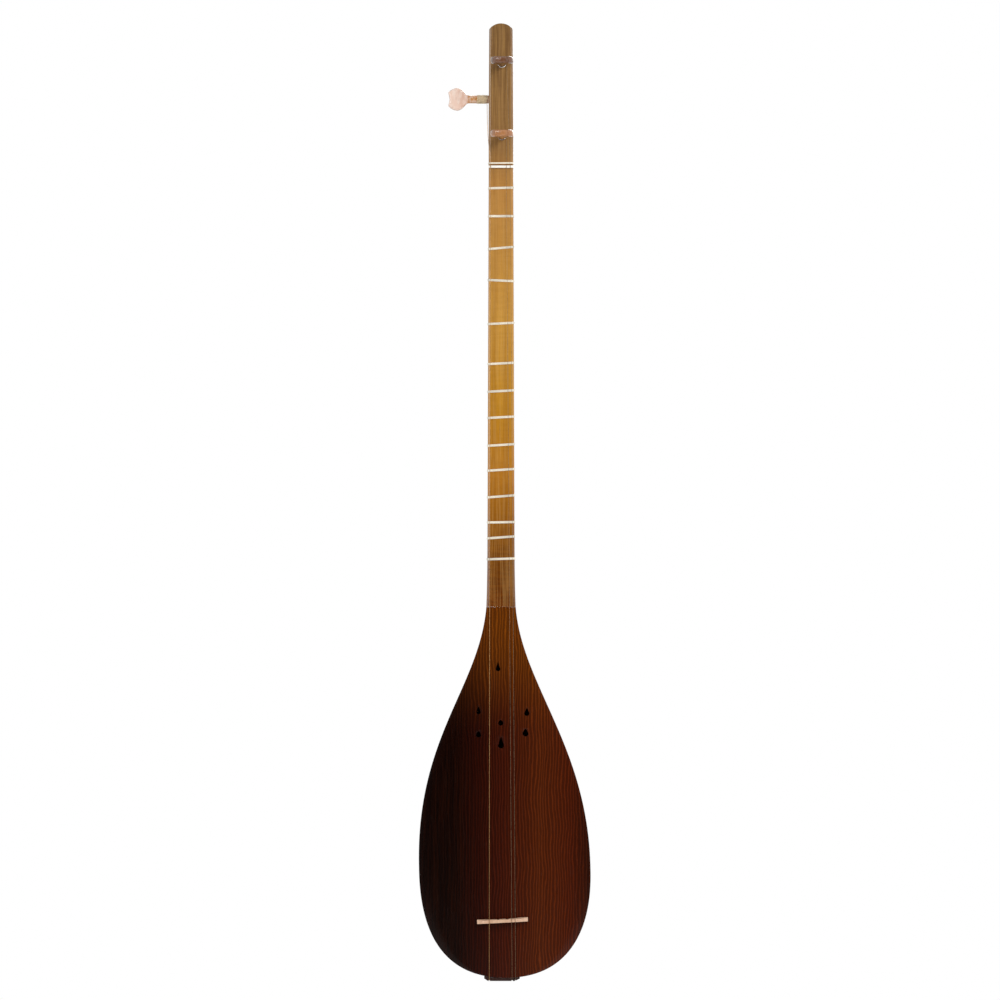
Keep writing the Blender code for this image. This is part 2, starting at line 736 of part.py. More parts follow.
PEG_FRAMES = make_peg_frames()
PEG_STRINGS = {"side": "bass", "upper": "outer", "lower": "inner"}


def through_head(name):
    """How far a peg goes into the head: through its width or through its depth."""
    if name == "side":
        return 2 * neck_size(SIDE_PEG_Z)[0]
    return neck_size(UPPER_PEG_Z if name == "upper" else LOWER_PEG_Z)[1]


def hole_profile(name):
    """The tapered hole of one peg, a little wider than its shaft and longer than the head."""
    inner = through_head(name) + 2 * OVERSHOOT
    wide = SHAFT_RADIUS + PEG_CLEARANCE
    narrow = SHAFT_TIP_RADIUS + PEG_CLEARANCE
    mouth = 3 * OVERSHOOT
    tip = -through_head(name)
    return [(0.0, mouth), (wide, mouth), (wide, 0.0), (narrow, tip), (narrow, -inner), (0.0, -inner)]


def paddle_outline():
    """The paddle seen face on, from the shaft outwards: a rounded hexagon with a notched end."""
    tip = SHAFT_LENGTH + PADDLE_LENGTH
    half = [
        (0.9 * SHAFT_RADIUS, SHAFT_LENGTH - PADDLE_ROOT),
        (1.05 * SHAFT_RADIUS, SHAFT_LENGTH),
        (0.60 * PADDLE_HALF_WIDTH, SHAFT_LENGTH + 0.13 * PADDLE_LENGTH),
        (0.86 * PADDLE_HALF_WIDTH, SHAFT_LENGTH + 0.29 * PADDLE_LENGTH),
        (0.98 * PADDLE_HALF_WIDTH, SHAFT_LENGTH + 0.44 * PADDLE_LENGTH),
        (PADDLE_HALF_WIDTH, SHAFT_LENGTH + 0.56 * PADDLE_LENGTH),
        (0.93 * PADDLE_HALF_WIDTH, SHAFT_LENGTH + 0.72 * PADDLE_LENGTH),
        (0.78 * PADDLE_HALF_WIDTH, SHAFT_LENGTH + 0.88 * PADDLE_LENGTH),
        (0.58 * PADDLE_HALF_WIDTH, tip),
        (0.28 * PADDLE_HALF_WIDTH, tip - 0.6 * PADDLE_NOTCH),
    ]
    return half + [(0.0, tip - PADDLE_NOTCH)] + [(-x, y) for x, y in reversed(half)]


def make_peg(name):
    """One friction peg: a tapered turned shaft with a flat paddle on it."""
    frame = PEG_FRAMES[name]
    inner = through_head(name) - GAP
    shaft = turned(f"peg_{name}", [
        (0.0, SHAFT_LENGTH + SHAFT_SHOULDER),
        (0.8 * SHAFT_RADIUS, SHAFT_LENGTH + SHAFT_SHOULDER),
        (SHAFT_RADIUS, SHAFT_LENGTH - SHAFT_SHOULDER),
        (SHAFT_RADIUS, 0.0),
        (SHAFT_TIP_RADIUS, -inner + SHAFT_CHAMFER),
        (SHAFT_TIP_RADIUS - SHAFT_CHAMFER, -inner),
        (0.0, -inner),
    ])
    place(shaft, "peg_wood", frame)
    flat = flat_curve(f"paddle_{name}", [paddle_outline()], PADDLE_THICKNESS, PADDLE_BEVEL)
    paddle = place(as_mesh(flat, Matrix.Rotation(math.radians(90.0), 4, "X")), parent=frame)
    cut(shaft, paddle, "UNION")


def make_winding(peg_name):
    """The string's turns on a peg, one unbroken tube that turns with it."""
    string = PEG_STRINGS[peg_name]
    start, turns, pitch = WINDINGS[string]
    radius = STRINGS[string][3]
    reach = (SHAFT_RADIUS + GAP + radius) / math.cos(math.pi / WINDING_STEPS)
    points = []
    for k in range(turns * WINDING_STEPS + 1):
        angle = 2 * math.pi * k / WINDING_STEPS
        height = start + pitch * k / WINDING_STEPS
        points.append(Vector((reach * math.cos(angle), reach * math.sin(angle), height)))
    winding = tube(f"winding_{string}", points, radius, sides_step=1)
    place(winding, "bronze" if string == "bass" else "steel", PEG_FRAMES[peg_name])
    gap = least_gap(points, WINDING_STEPS, radius)
    print(f"least gap between the turns of the {string} winding {gap * 1000:.3f} mm")


def loop_on_pin(x, radius, steps=9):
    """The string's end: three quarters of a turn round its pin, ending in the groove."""
    reach = PIN_RADIUS + GAP + radius
    points = []
    for i in range(steps + 1):
        angle = math.radians(180.0 - 270.0 * i / steps)
        y = HOLDER_BACK_Y + 0.0016 - 0.0008 * i / steps
        points.append((x + reach * math.cos(angle), y, PIN_Z + reach * math.sin(angle)))
    return points


def tail_route(x, radius):
    """From the pin through the groove and up over the front edge of the holder."""
    groove_z = 0.0005
    front_y = HOLDER_FRONT_Y - GAP - radius
    return loop_on_pin(x, radius) + [
        (x, HOLDER_BACK_Y - 0.0006, groove_z),
        (x, 0.0010, groove_z),
        (x, HOLDER_FRONT_Y + 0.0002, groove_z + 0.0001),
        (x, front_y, groove_z + 0.0007),
        (x, front_y - 0.0001, TAIL_Z),
    ]


def peg_side_of_string(string):
    """The last points of a string, between the nut and its peg."""
    radius = STRINGS[string][3]
    swept = (SHAFT_RADIUS + GAP + radius) / math.cos(math.pi / WINDING_STEPS) + radius
    start, turns, pitch = WINDINGS[string]
    if string == "bass":
        width = neck_size(SIDE_PEG_Z)[0]
        clear = GAP + radius
        end = Vector((-(width + start), SIDE_PEG_Y - SHAFT_RADIUS, SIDE_PEG_Z - swept - STRING_END_CLEARANCE))
        over_edge = [(-(width - 0.0006), -0.0018, 0.8050), (-(width + 0.0006) - clear, 0.0010, 0.8230)]
        return over_edge + [tuple(end)]
    peg_z = UPPER_PEG_Z if string == "outer" else LOWER_PEG_Z
    end_x = FRONT_PEG_X + SHAFT_RADIUS
    return [(end_x, -start, peg_z - swept - STRING_END_CLEARANCE)]


def make_string(string):
    """One string, whole, along its real route from its pin to its peg."""
    holder_x, bridge_x, nut_x, radius = STRINGS[string]
    bridge_z = BRIDGE_Z + (bridge_x - BRIDGE_X) * math.tan(BRIDGE_TILT)
    bridge_y = seat_y(BRIDGE_HEIGHT)
    nut_y = seat_y(NUT_HEIGHT)
    route = tail_route(holder_x, radius) + [
        (bridge_x, bridge_y, bridge_z - 0.0012),
        (bridge_x, bridge_y, bridge_z + 0.0012),
        (nut_x, nut_y, NUT_Z - 0.0008),
        (nut_x, nut_y, NUT_Z + 0.0008),
        (nut_x, nut_y - 0.0001, NUT_TIE_Z),
    ] + peg_side_of_string(string)
    points = [Vector(point) for point in route]
    length = sum((b - a).length for a, b in zip(points, points[1:]))
    print(f"string_{string} is {length * 1000:.0f} mm long")
    place(tube(f"string_{string}", points, radius), "bronze" if string == "bass" else "steel")


make_ribs()
make_soundboard()
make_neck()
make_end_block()
make_string_holder()
make_hitch_pins()
make_nut()
make_nut_tie()
make_frets()
make_bridge()
for peg in PEG_FRAMES:
    make_peg(peg)
    make_winding(peg)
for string_name in STRINGS:
    make_string(string_name)
bpy.context.view_layer.update()
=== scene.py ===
# %% [markdown]
# # A tanbur in Blender
# The instrument hangs upright with its front towards -Y. The construction model gives every
# piece its place. This script gives each piece its finish and its fine shape.

# %% Load the frame
import json
import math

import bpy
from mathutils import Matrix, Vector


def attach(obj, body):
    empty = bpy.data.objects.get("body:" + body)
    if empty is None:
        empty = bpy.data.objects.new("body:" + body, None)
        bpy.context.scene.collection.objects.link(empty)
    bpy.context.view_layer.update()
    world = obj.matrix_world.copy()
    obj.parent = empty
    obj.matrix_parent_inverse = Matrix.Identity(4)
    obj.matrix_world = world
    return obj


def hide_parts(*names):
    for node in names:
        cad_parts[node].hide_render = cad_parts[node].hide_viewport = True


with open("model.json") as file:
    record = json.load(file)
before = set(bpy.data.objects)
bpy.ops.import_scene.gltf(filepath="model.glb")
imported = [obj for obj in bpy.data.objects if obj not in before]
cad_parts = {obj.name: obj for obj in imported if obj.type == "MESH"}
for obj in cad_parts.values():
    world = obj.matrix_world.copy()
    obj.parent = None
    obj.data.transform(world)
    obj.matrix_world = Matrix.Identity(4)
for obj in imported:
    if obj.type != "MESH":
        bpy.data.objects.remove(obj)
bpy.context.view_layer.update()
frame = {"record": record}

# %% [markdown]
# ## Camera, floor and light
# The photograph is taken straight at the front with a long lens, so that the neck shows no
# perspective. The lens follows from how much of the object the square picture takes in.

# %% Camera
MM = 0.001
METRES_PER_PIXEL = 0.9711 * MM
PICTURE_PIXELS = 1000
AXIS_PIXEL_X = 501.0
TAIL_PIXEL_Y = 981.0
CAMERA_DISTANCE = 4.5
SENSOR = 36.0

scene = bpy.context.scene
scene.view_settings.view_transform = "Standard"
camera_data = bpy.data.cameras.new("camera")
camera = bpy.data.objects.new("camera", camera_data)
scene.collection.objects.link(camera)
camera_x = (PICTURE_PIXELS / 2 - AXIS_PIXEL_X) * METRES_PER_PIXEL
camera_z = (TAIL_PIXEL_Y - PICTURE_PIXELS / 2) * METRES_PER_PIXEL
camera.location = (camera_x, -CAMERA_DISTANCE, camera_z)
camera.rotation_euler = (math.radians(90.0), 0.0, 0.0)
camera_data.sensor_width = SENSOR
camera_data.lens = SENSOR * CAMERA_DISTANCE / (PICTURE_PIXELS * METRES_PER_PIXEL)
scene.camera = camera
print("lens", round(camera_data.lens, 1), "mm")

# %% [markdown]
# The surroundings are white for what is seen directly and in the lacquer's edges. Straight in
# front of the instrument they are dark, as behind a photographer, so the flat dark board
# doesn't turn grey.

# %% World
DIFFUSE_SKY = 0.42
FRONT_DARK = 0.008
# Where, looking towards -Y, the dark patch is at its darkest and where it ends
PATCH_MIDDLE = -0.93
PATCH_RIM = -0.62
WHITE = (1.0, 1.0, 1.0, 1.0)


def socket(node, name):
    """An input of a node by its name."""
    return node.inputs[name]


def make_world():
    """White seen directly, white with a dark patch in front for reflections, plain light else."""
    world = bpy.data.worlds.new("studio")
    scene.world = world
    world.use_nodes = True
    nodes = world.node_tree.nodes
    links = world.node_tree.links
    nodes.clear()
    out = nodes.new("ShaderNodeOutputWorld")
    path = nodes.new("ShaderNodeLightPath")
    place = nodes.new("ShaderNodeTexCoord")
    split = nodes.new("ShaderNodeSeparateXYZ")
    links.new(place.outputs["Generated"], split.inputs[0])
    ahead = nodes.new("ShaderNodeMapRange")
    ahead.interpolation_type = "SMOOTHSTEP"
    socket(ahead, "From Min").default_value = PATCH_MIDDLE
    socket(ahead, "From Max").default_value = PATCH_RIM
    socket(ahead, "To Min").default_value = FRONT_DARK
    links.new(split.outputs["Y"], ahead.inputs["Value"])
    glossy = nodes.new("ShaderNodeMix")
    glossy.data_type = "FLOAT"
    socket(glossy, "A").default_value = DIFFUSE_SKY
    links.new(path.outputs["Is Glossy Ray"], glossy.inputs["Factor"])
    links.new(ahead.outputs["Result"], glossy.inputs["B"])
    direct = nodes.new("ShaderNodeMath")
    direct.operation = "MAXIMUM"
    links.new(path.outputs["Is Camera Ray"], direct.inputs[0])
    links.new(path.outputs["Is Transmission Ray"], direct.inputs[1])
    strength = nodes.new("ShaderNodeMix")
    strength.data_type = "FLOAT"
    socket(strength, "B").default_value = 1.0
    links.new(direct.outputs[0], strength.inputs["Factor"])
    links.new(glossy.outputs["Result"], strength.inputs["A"])
    sky = nodes.new("ShaderNodeBackground")
    socket(sky, "Color").default_value = WHITE
    links.new(strength.outputs["Result"], sky.inputs["Strength"])
    links.new(sky.outputs[0], out.inputs["Surface"])


make_world()

# %% Floor and lamps
FLOOR_Z = -0.25
FLOOR_RADIUS = 1.8
FLOOR_SHADE = (0.88, 0.88, 0.87, 1.0)
FLOOR_ROUGHNESS = 0.8

bpy.ops.object.select_all(action="DESELECT")
bpy.ops.mesh.primitive_circle_add(
    vertices=96, radius=FLOOR_RADIUS, fill_type="NGON", location=(0.0, 0.0, FLOOR_Z)
)
floor = bpy.context.object
floor.name = "floor"
floor_finish = bpy.data.materials.new("floor_paint")
floor_finish.use_nodes = True
floor_shader = floor_finish.node_tree.nodes["Principled BSDF"]
floor_shader.inputs["Base Color"].default_value = FLOOR_SHADE
floor_shader.inputs["Roughness"].default_value = FLOOR_ROUGHNESS
# Seen from below, the floor is clear, so that it doesn't hide the underside
floor_nodes, floor_links = floor_finish.node_tree.nodes, floor_finish.node_tree.links
which_side = floor_nodes.new("ShaderNodeNewGeometry")
see_through = floor_nodes.new("ShaderNodeBsdfTransparent")
either = floor_nodes.new("ShaderNodeMixShader")
floor_links.new(which_side.outputs["Backfacing"], either.inputs[0])
floor_links.new(floor_shader.outputs[0], either.inputs[1])
floor_links.new(see_through.outputs[0], either.inputs[2])
floor_links.new(either.outputs[0], floor_nodes["Material Output"].inputs["Surface"])
floor.data.materials.append(floor_finish)

# Place, size and power
LAMPS = {
    "key": ((1.6, -2.2, 1.9), 1.3, 48.0),
    "fill": ((-2.0, -2.0, 0.9), 1.6, 22.0),
    "back": ((0.6, 2.4, 1.6), 1.4, 30.0),
}


def make_lamp(name, place, size, power):
    """A square soft lamp that looks at the middle of the instrument."""
    light = bpy.data.lights.new(name, "AREA")
    light.shape = "SQUARE"
    light.size = size
    light.energy = power
    lamp = bpy.data.objects.new(name, light)
    scene.collection.objects.link(lamp)
    lamp.location = place
    middle = Vector((0.0, 0.0, camera_z))
    lamp.rotation_euler = (middle - Vector(place)).to_track_quat("-Z", "Y").to_euler()


for lamp_name, lamp_values in LAMPS.items():
    make_lamp(lamp_name, *lamp_values)

# %% [markdown]
# ## Finishes
# All the wood shares one grain: noise stretched along a piece's length, with a slower noise
# that bends its lines. It is one node group, so that each wood only sets its own numbers.

# %% Colour and node helpers


def linear(channel):
    """One 0 to 255 screen value as the linear value that a shader takes."""
    share = channel / 255.0
    return share / 12.92 if share <= 0.04045 else ((share + 0.055) / 1.055) ** 2.4


def rgb(red, green, blue):
    """A screen colour as a linear colour with full alpha."""
    return (linear(red), linear(green), linear(blue), 1.0)


def ramp(nodes, stops):
    """A colour ramp with the given stops of place and colour."""
    node = nodes.new("ShaderNodeValToRGB")
    elements = node.color_ramp.elements
    while len(elements) < len(stops):
        elements.new(0.5)
    for element, (place, shade) in zip(elements, stops):
        element.position = place
        element.color = shade
    return node


def range_node(nodes, low, high, to_low=0.0, to_high=1.0):
    """A smooth change from one value to another over a range."""
    node = nodes.new("ShaderNodeMapRange")
    node.interpolation_type = "SMOOTHSTEP"
    ends = (("From Min", low), ("From Max", high), ("To Min", to_low), ("To Max", to_high))
    for name, value in ends:
        node.inputs[name].default_value = value
    return node


def mix_colour(nodes, blend="MIX"):
    """A colour mix node and its useful sockets: factor, a, b and result."""
    node = nodes.new("ShaderNodeMix")
    node.data_type = "RGBA"
    node.blend_type = blend
    return node, node.inputs["Factor"], node.inputs[6], node.inputs[7], node.outputs[2]


# %% The grain group


# Name, size, detail and the range of the noise that each layer of the grain takes
GRAIN_LAYERS = (
    ("Lines", 1.0, 5.0, 0.38, 0.66),
    ("Bands", 0.16, 2.0, 0.35, 0.65),
    ("Pores", 2.6, 2.0, 0.60, 0.74),
)
SLOW_NOISE = 14.0


def make_grain_group():
    """Grain lines, bands and pores from a position, drawn out along Z."""
    group = bpy.data.node_groups.new("wood_grain", "ShaderNodeTree")
    face = group.interface
    face.new_socket("Vector", in_out="INPUT", socket_type="NodeSocketVector")
    across = face.new_socket("Across", in_out="INPUT", socket_type="NodeSocketFloat")
    along = face.new_socket("Along", in_out="INPUT", socket_type="NodeSocketFloat")
    wave = face.new_socket("Wave", in_out="INPUT", socket_type="NodeSocketFloat")
    across.default_value, along.default_value, wave.default_value = 900.0, 12.0, 0.004
    face.new_socket("Lines", in_out="OUTPUT", socket_type="NodeSocketFloat")
    face.new_socket("Bands", in_out="OUTPUT", socket_type="NodeSocketFloat")
    face.new_socket("Pores", in_out="OUTPUT", socket_type="NodeSocketFloat")
    nodes, links = group.nodes, group.links
    given = nodes.new("NodeGroupInput")
    out = nodes.new("NodeGroupOutput")
    slow = nodes.new("ShaderNodeTexNoise")
    slow.inputs["Scale"].default_value = SLOW_NOISE
    links.new(given.outputs["Vector"], slow.inputs["Vector"])
    centred = nodes.new("ShaderNodeVectorMath")
    centred.operation = "SUBTRACT"
    centred.inputs[1].default_value = (0.5, 0.5, 0.5)
    links.new(slow.outputs["Color"], centred.inputs[0])
    bend = nodes.new("ShaderNodeVectorMath")
    bend.operation = "SCALE"
    links.new(centred.outputs[0], bend.inputs[0])
    links.new(given.outputs["Wave"], bend.inputs["Scale"])
    moved = nodes.new("ShaderNodeVectorMath")
    moved.operation = "ADD"
    links.new(given.outputs["Vector"], moved.inputs[0])
    links.new(bend.outputs[0], moved.inputs[1])
    stretch = nodes.new("ShaderNodeCombineXYZ")
    for axis, source in (("X", "Across"), ("Y", "Across"), ("Z", "Along")):
        links.new(given.outputs[source], stretch.inputs[axis])
    scaled = nodes.new("ShaderNodeVectorMath")
    scaled.operation = "MULTIPLY"
    links.new(moved.outputs[0], scaled.inputs[0])
    links.new(stretch.outputs[0], scaled.inputs[1])
    for name, size, detail, low, high in GRAIN_LAYERS:
        noise = nodes.new("ShaderNodeTexNoise")
        noise.inputs["Scale"].default_value = size
        noise.inputs["Detail"].default_value = detail
        links.new(scaled.outputs[0], noise.inputs["Vector"])
        sharp = range_node(nodes, low, high)
        links.new(noise.outputs["Fac"], sharp.inputs["Value"])
        links.new(sharp.outputs["Result"], out.inputs[name])
    return group


GRAIN = make_grain_group()
COAT_ROUGHNESS = 0.08
# How strongly the lines and pores show beside the bands
LINE_SHARE = 0.5
PORE_SHARE = 0.6
PORE_SHADE = (0.45, 0.40, 0.36, 1.0)
GRAIN_DEPTH = 0.0002


def start_finish(name, roughness, metallic=0.0, coat=0.0, specular=0.5):
    """A material with its constant shader values, and its nodes, links and shader."""
    material = bpy.data.materials.new(name)
    material.use_nodes = True
    nodes = material.node_tree.nodes
    shader = nodes["Principled BSDF"]
    shader.inputs["Roughness"].default_value = roughness
    shader.inputs["Metallic"].default_value = metallic
    shader.inputs["Coat Weight"].default_value = coat
    shader.inputs["Coat Roughness"].default_value = COAT_ROUGHNESS
    shader.inputs["Specular IOR Level"].default_value = specular
    return material, nodes, material.node_tree.links, shader


def place_of(nodes, links):
    """Object coordinates, whole and split."""
    place = nodes.new("ShaderNodeTexCoord")
    split = nodes.new("ShaderNodeSeparateXYZ")
    links.new(place.outputs["Object"], split.inputs[0])
    return place.outputs["Object"], split


def add_grain(nodes, links, shader, place, base, across, along, wave, dark, pale, strength, bump):
    """Darker bands, paler lines and pores over a base colour, with a shallow bump."""
    grain = nodes.new("ShaderNodeGroup")
    grain.node_tree = GRAIN
    for name, value in (("Across", across), ("Along", along), ("Wave", wave)):
        grain.inputs[name].default_value = value
    links.new(place, grain.inputs["Vector"])
    _, factor, a, b, banded = mix_colour(nodes, "MULTIPLY")
    band_share = range_node(nodes, 0.0, 1.0, 0.0, strength)
    links.new(grain.outputs["Bands"], band_share.inputs["Value"])
    links.new(band_share.outputs["Result"], factor)
    links.new(base, a)
    b.default_value = dark
    _, factor2, a2, b2, lined = mix_colour(nodes, "MIX")
    line_share = range_node(nodes, 0.0, 1.0, 0.0, strength * LINE_SHARE)
    links.new(grain.outputs["Lines"], line_share.inputs["Value"])
    links.new(line_share.outputs["Result"], factor2)
    links.new(banded, a2)
    b2.default_value = pale
    _, factor3, a3, b3, done = mix_colour(nodes, "MULTIPLY")
    pore_share = range_node(nodes, 0.0, 1.0, 0.0, strength * PORE_SHARE)
    links.new(grain.outputs["Pores"], pore_share.inputs["Value"])
    links.new(pore_share.outputs["Result"], factor3)
    links.new(lined, a3)
    b3.default_value = PORE_SHADE
    links.new(done, shader.inputs["Base Color"])
    height = nodes.new("ShaderNodeBump")
    height.inputs["Strength"].default_value = bump
    height.inputs["Distance"].default_value = GRAIN_DEPTH
    links.new(grain.outputs["Lines"], height.inputs["Height"])
    links.new(height.outputs["Normal"], shader.inputs["Normal"])
    rough = shader.inputs["Roughness"].default_value
    gloss = range_node(nodes, 0.0, 1.0, rough * 0.85, rough * 1.25)
    links.new(grain.outputs["Pores"], gloss.inputs["Value"])
    links.new(gloss.outputs["Result"], shader.inputs["Roughness"])


# %% [markdown]
# The neck is golden under its lacquer and browner towards the bowl; the grey of the head is a
# painted reflection. The colour changes slowly along its length, so a colour ramp on the height
# carries it.

# %% Neck finish
NECK_LOW = 0.363
NECK_HIGH = 0.930
# Height and colour: the wood's own, with a painted reflection in the grey of the head
NECK_STAIN_AND_REFLECTION_STOPS = (
    (0.363, (112, 54, 2)), (0.400, (120, 66, 2)), (0.438, (146, 88, 12)),
    (0.490, (184, 120, 30)), (0.560, (192, 134, 32)), (0.640, (200, 146, 60)),
    (0.770, (184, 130, 64)), (0.810, (148, 110, 66)), (0.925, (124, 91, 56)),
)
# The curly figure across the grain, full below one height and faint above the other
CURL_SQUEEZE = (60.0, 60.0, 330.0)
CURL_TILT = math.radians(8.0)
CURL_FULL_Z = 0.400
CURL_FAINT_Z = 0.455
CURL_SHADE = (0.50, 0.40, 0.22, 1.0)


def make_neck_finish():
    """Lacquered golden wood whose colour changes along the neck; the head's grey is painted
    reflection.
    """
    material, nodes, links, shader = start_finish("neck_lacquer_painted_reflection", 0.24, coat=0.35)
    place, split = place_of(nodes, links)
    span = nodes.new("ShaderNodeMapRange")
    span.inputs["From Min"].default_value = NECK_LOW
    span.inputs["From Max"].default_value = NECK_HIGH
    links.new(split.outputs["Z"], span.inputs["Value"])
    stops = [((z - NECK_LOW) / (NECK_HIGH - NECK_LOW), rgb(*shade)) for z, shade in NECK_STAIN_AND_REFLECTION_STOPS]
    stain_and_reflection = ramp(nodes, stops)
    links.new(span.outputs["Result"], stain_and_reflection.inputs["Fac"])
    curl = nodes.new("ShaderNodeTexNoise")
    curl.inputs["Scale"].default_value = 1.0
    curl.inputs["Detail"].default_value = 2.0
    squeeze = nodes.new("ShaderNodeMapping")
    squeeze.inputs["Scale"].default_value = CURL_SQUEEZE
    squeeze.inputs["Rotation"].default_value = (0.0, CURL_TILT, 0.0)
    links.new(place, squeeze.inputs["Vector"])
    links.new(squeeze.outputs["Vector"], curl.inputs["Vector"])
    figure = range_node(nodes, 0.40, 0.62, 0.0, 0.45)
    links.new(curl.outputs["Fac"], figure.inputs["Value"])
    near_heel = range_node(nodes, CURL_FAINT_Z, CURL_FULL_Z, 0.25, 1.0)
    links.new(split.outputs["Z"], near_heel.inputs["Value"])
    weight = nodes.new("ShaderNodeMath")
    weight.operation = "MULTIPLY"
    links.new(figure.outputs["Result"], weight.inputs[0])
    links.new(near_heel.outputs["Result"], weight.inputs[1])
    _, factor, a, b, curled = mix_colour(nodes, "MULTIPLY")
    links.new(weight.outputs[0], factor)
    links.new(stain_and_reflection.outputs["Color"], a)
    b.default_value = CURL_SHADE
    add_grain(
        nodes, links, shader, place, curled, across=900.0, along=14.0, wave=0.003,
        dark=(0.74, 0.66, 0.50, 1.0), pale=rgb(206, 160, 92), strength=0.52, bump=0.15,
    )
    return material


# %% [markdown]
# The soundboard has a dark staining. Its near-black bass side is painted shade, its brown
# treble side and its browner part near the neck are painted light, and its grain shows as thin
# paler lines.

# %% Soundboard finish
BOARD_HALF = 0.085
# Share of the width from the bass side, and colour: dark staining, with painted shade making
# the bass side near black and painted light making the treble side brown
BOARD_STAIN_SHADE_AND_LIGHT_STOPS = (
    (0.0, (7, 1, 0)), (0.24, (13, 2, 0)), (0.38, (32, 5, 1)), (0.52, (50, 13, 3)),
    (0.72, (66, 24, 4)), (0.90, (60, 18, 3)), (1.0, (36, 9, 2)),
)
# Painted light: near the neck the board is browner, between these heights and from the bass
# side on
TOP_PAINTED_LIGHT = (88, 42, 2)
TOP_START_Z = 0.235
TOP_FULL_Z = 0.350
TOP_BASS_X = -0.045
TOP_MIDDLE_X = 0.004
RING_SCALE = 108.0
RING_GAIN = (2.3, 2.3, 1.9)


def add_year_rings(nodes, links, place, base):
    """Thin paler lines about 3 mm apart up the board, bent by a slow noise."""
    squeeze = nodes.new("ShaderNodeMapping")
    squeeze.inputs["Scale"].default_value = (1.0, 1.0, 0.30)
    links.new(place, squeeze.inputs["Vector"])
    rings = nodes.new("ShaderNodeTexWave")
    rings.bands_direction = "X"
    rings.inputs["Scale"].default_value = RING_SCALE
    rings.inputs["Distortion"].default_value = 13.0
    rings.inputs["Detail"].default_value = 4.0
    rings.inputs["Detail Scale"].default_value = 0.45
    links.new(squeeze.outputs["Vector"], rings.inputs["Vector"])
    line = range_node(nodes, 0.55, 1.0, 0.0, 0.85)
    links.new(rings.outputs["Fac"], line.inputs["Value"])
    brighter = nodes.new("ShaderNodeVectorMath")
    brighter.operation = "MULTIPLY"
    brighter.inputs[1].default_value = RING_GAIN
    links.new(base, brighter.inputs[0])
    _, factor, a, b, ringed = mix_colour(nodes)
    links.new(line.outputs["Result"], factor)
    links.new(base, a)
    links.new(brighter.outputs[0], b)
    return ringed


def make_board_finish():
    """Dark board with painted shade and painted light across its staining, under thin pale grain
    lines.
    """
    material, nodes, links, shader = start_finish("board_stain_painted_shade_and_light", 0.27, coat=0.0, specular=0.16)
    place, split = place_of(nodes, links)
    side = nodes.new("ShaderNodeMapRange")
    side.inputs["From Min"].default_value = -BOARD_HALF
    side.inputs["From Max"].default_value = BOARD_HALF
    links.new(split.outputs["X"], side.inputs["Value"])
    across = ramp(nodes, [(share, rgb(*shade)) for share, shade in BOARD_STAIN_SHADE_AND_LIGHT_STOPS])
    links.new(side.outputs["Result"], across.inputs["Fac"])
    top = range_node(nodes, TOP_START_Z, TOP_FULL_Z)
    links.new(split.outputs["Z"], top.inputs["Value"])
    _, factor, a, b, stain_shade_and_light = mix_colour(nodes)
    treble_side = range_node(nodes, TOP_BASS_X, TOP_MIDDLE_X, 0.30, 1.0)
    links.new(split.outputs["X"], treble_side.inputs["Value"])
    # The share of painted light near the neck, more towards the treble side
    browner = nodes.new("ShaderNodeMath")
    browner.operation = "MULTIPLY"
    links.new(top.outputs["Result"], browner.inputs[0])
    links.new(treble_side.outputs["Result"], browner.inputs[1])
    links.new(browner.outputs[0], factor)
    links.new(across.outputs["Color"], a)
    b.default_value = rgb(*TOP_PAINTED_LIGHT)
    ringed = add_year_rings(nodes, links, place, stain_shade_and_light)
    add_grain(
        nodes, links, shader, place, ringed, across=800.0, along=9.0, wave=0.006,
        dark=(0.62, 0.52, 0.46, 1.0), pale=rgb(70, 26, 4), strength=0.18, bump=0.06,
    )
    return material


# %% Other woods
# The darker patches and the paler lines of a wood, beside its own shade
LOW_TONE = 0.88
PALE_TONE = 1.18
PADDLE_START_X = -0.0325
PADDLE_BLEND = 0.0015


def plain_wood(name, shade, roughness, coat, across, along, strength):
    """A lacquered wood of one shade with grain."""
    material, nodes, links, shader = start_finish(name, roughness, coat=coat)
    place, _ = place_of(nodes, links)
    base = nodes.new("ShaderNodeTexNoise")
    base.inputs["Scale"].default_value = 30.0
    links.new(place, base.inputs["Vector"])
    low = [channel * LOW_TONE for channel in shade]
    tone = ramp(nodes, [(0.35, rgb(*low)), (0.65, rgb(*shade))])
    links.new(base.outputs["Fac"], tone.inputs["Fac"])
    light = rgb(*[min(255, channel * PALE_TONE) for channel in shade])
    add_grain(
        nodes, links, shader, place, tone.outputs["Color"], across, along, wave=0.004,
        dark=(0.66, 0.56, 0.44, 1.0), pale=light, strength=strength, bump=0.15,
    )
    return material


def worn_metal(name, shade, roughness, stripes, metallic=1.0):
    """A metal wire or pin with a faint change of tone and fine roughness."""
    material, nodes, links, shader = start_finish(name, roughness, metallic=metallic)
    place, _ = place_of(nodes, links)
    noise = nodes.new("ShaderNodeTexNoise")
    noise.inputs["Scale"].default_value = stripes
    links.new(place, noise.inputs["Vector"])
    dark = [channel * 0.72 for channel in shade]
    tone = ramp(nodes, [(0.35, rgb(*dark)), (0.65, rgb(*shade))])
    links.new(noise.outputs["Fac"], tone.inputs["Fac"])
    links.new(tone.outputs["Color"], shader.inputs["Base Color"])
    gloss = range_node(nodes, 0.3, 0.7, roughness * 0.8, roughness * 1.3)
    links.new(noise.outputs["Fac"], gloss.inputs["Value"])
    links.new(gloss.outputs["Result"], shader.inputs["Roughness"])
    return material


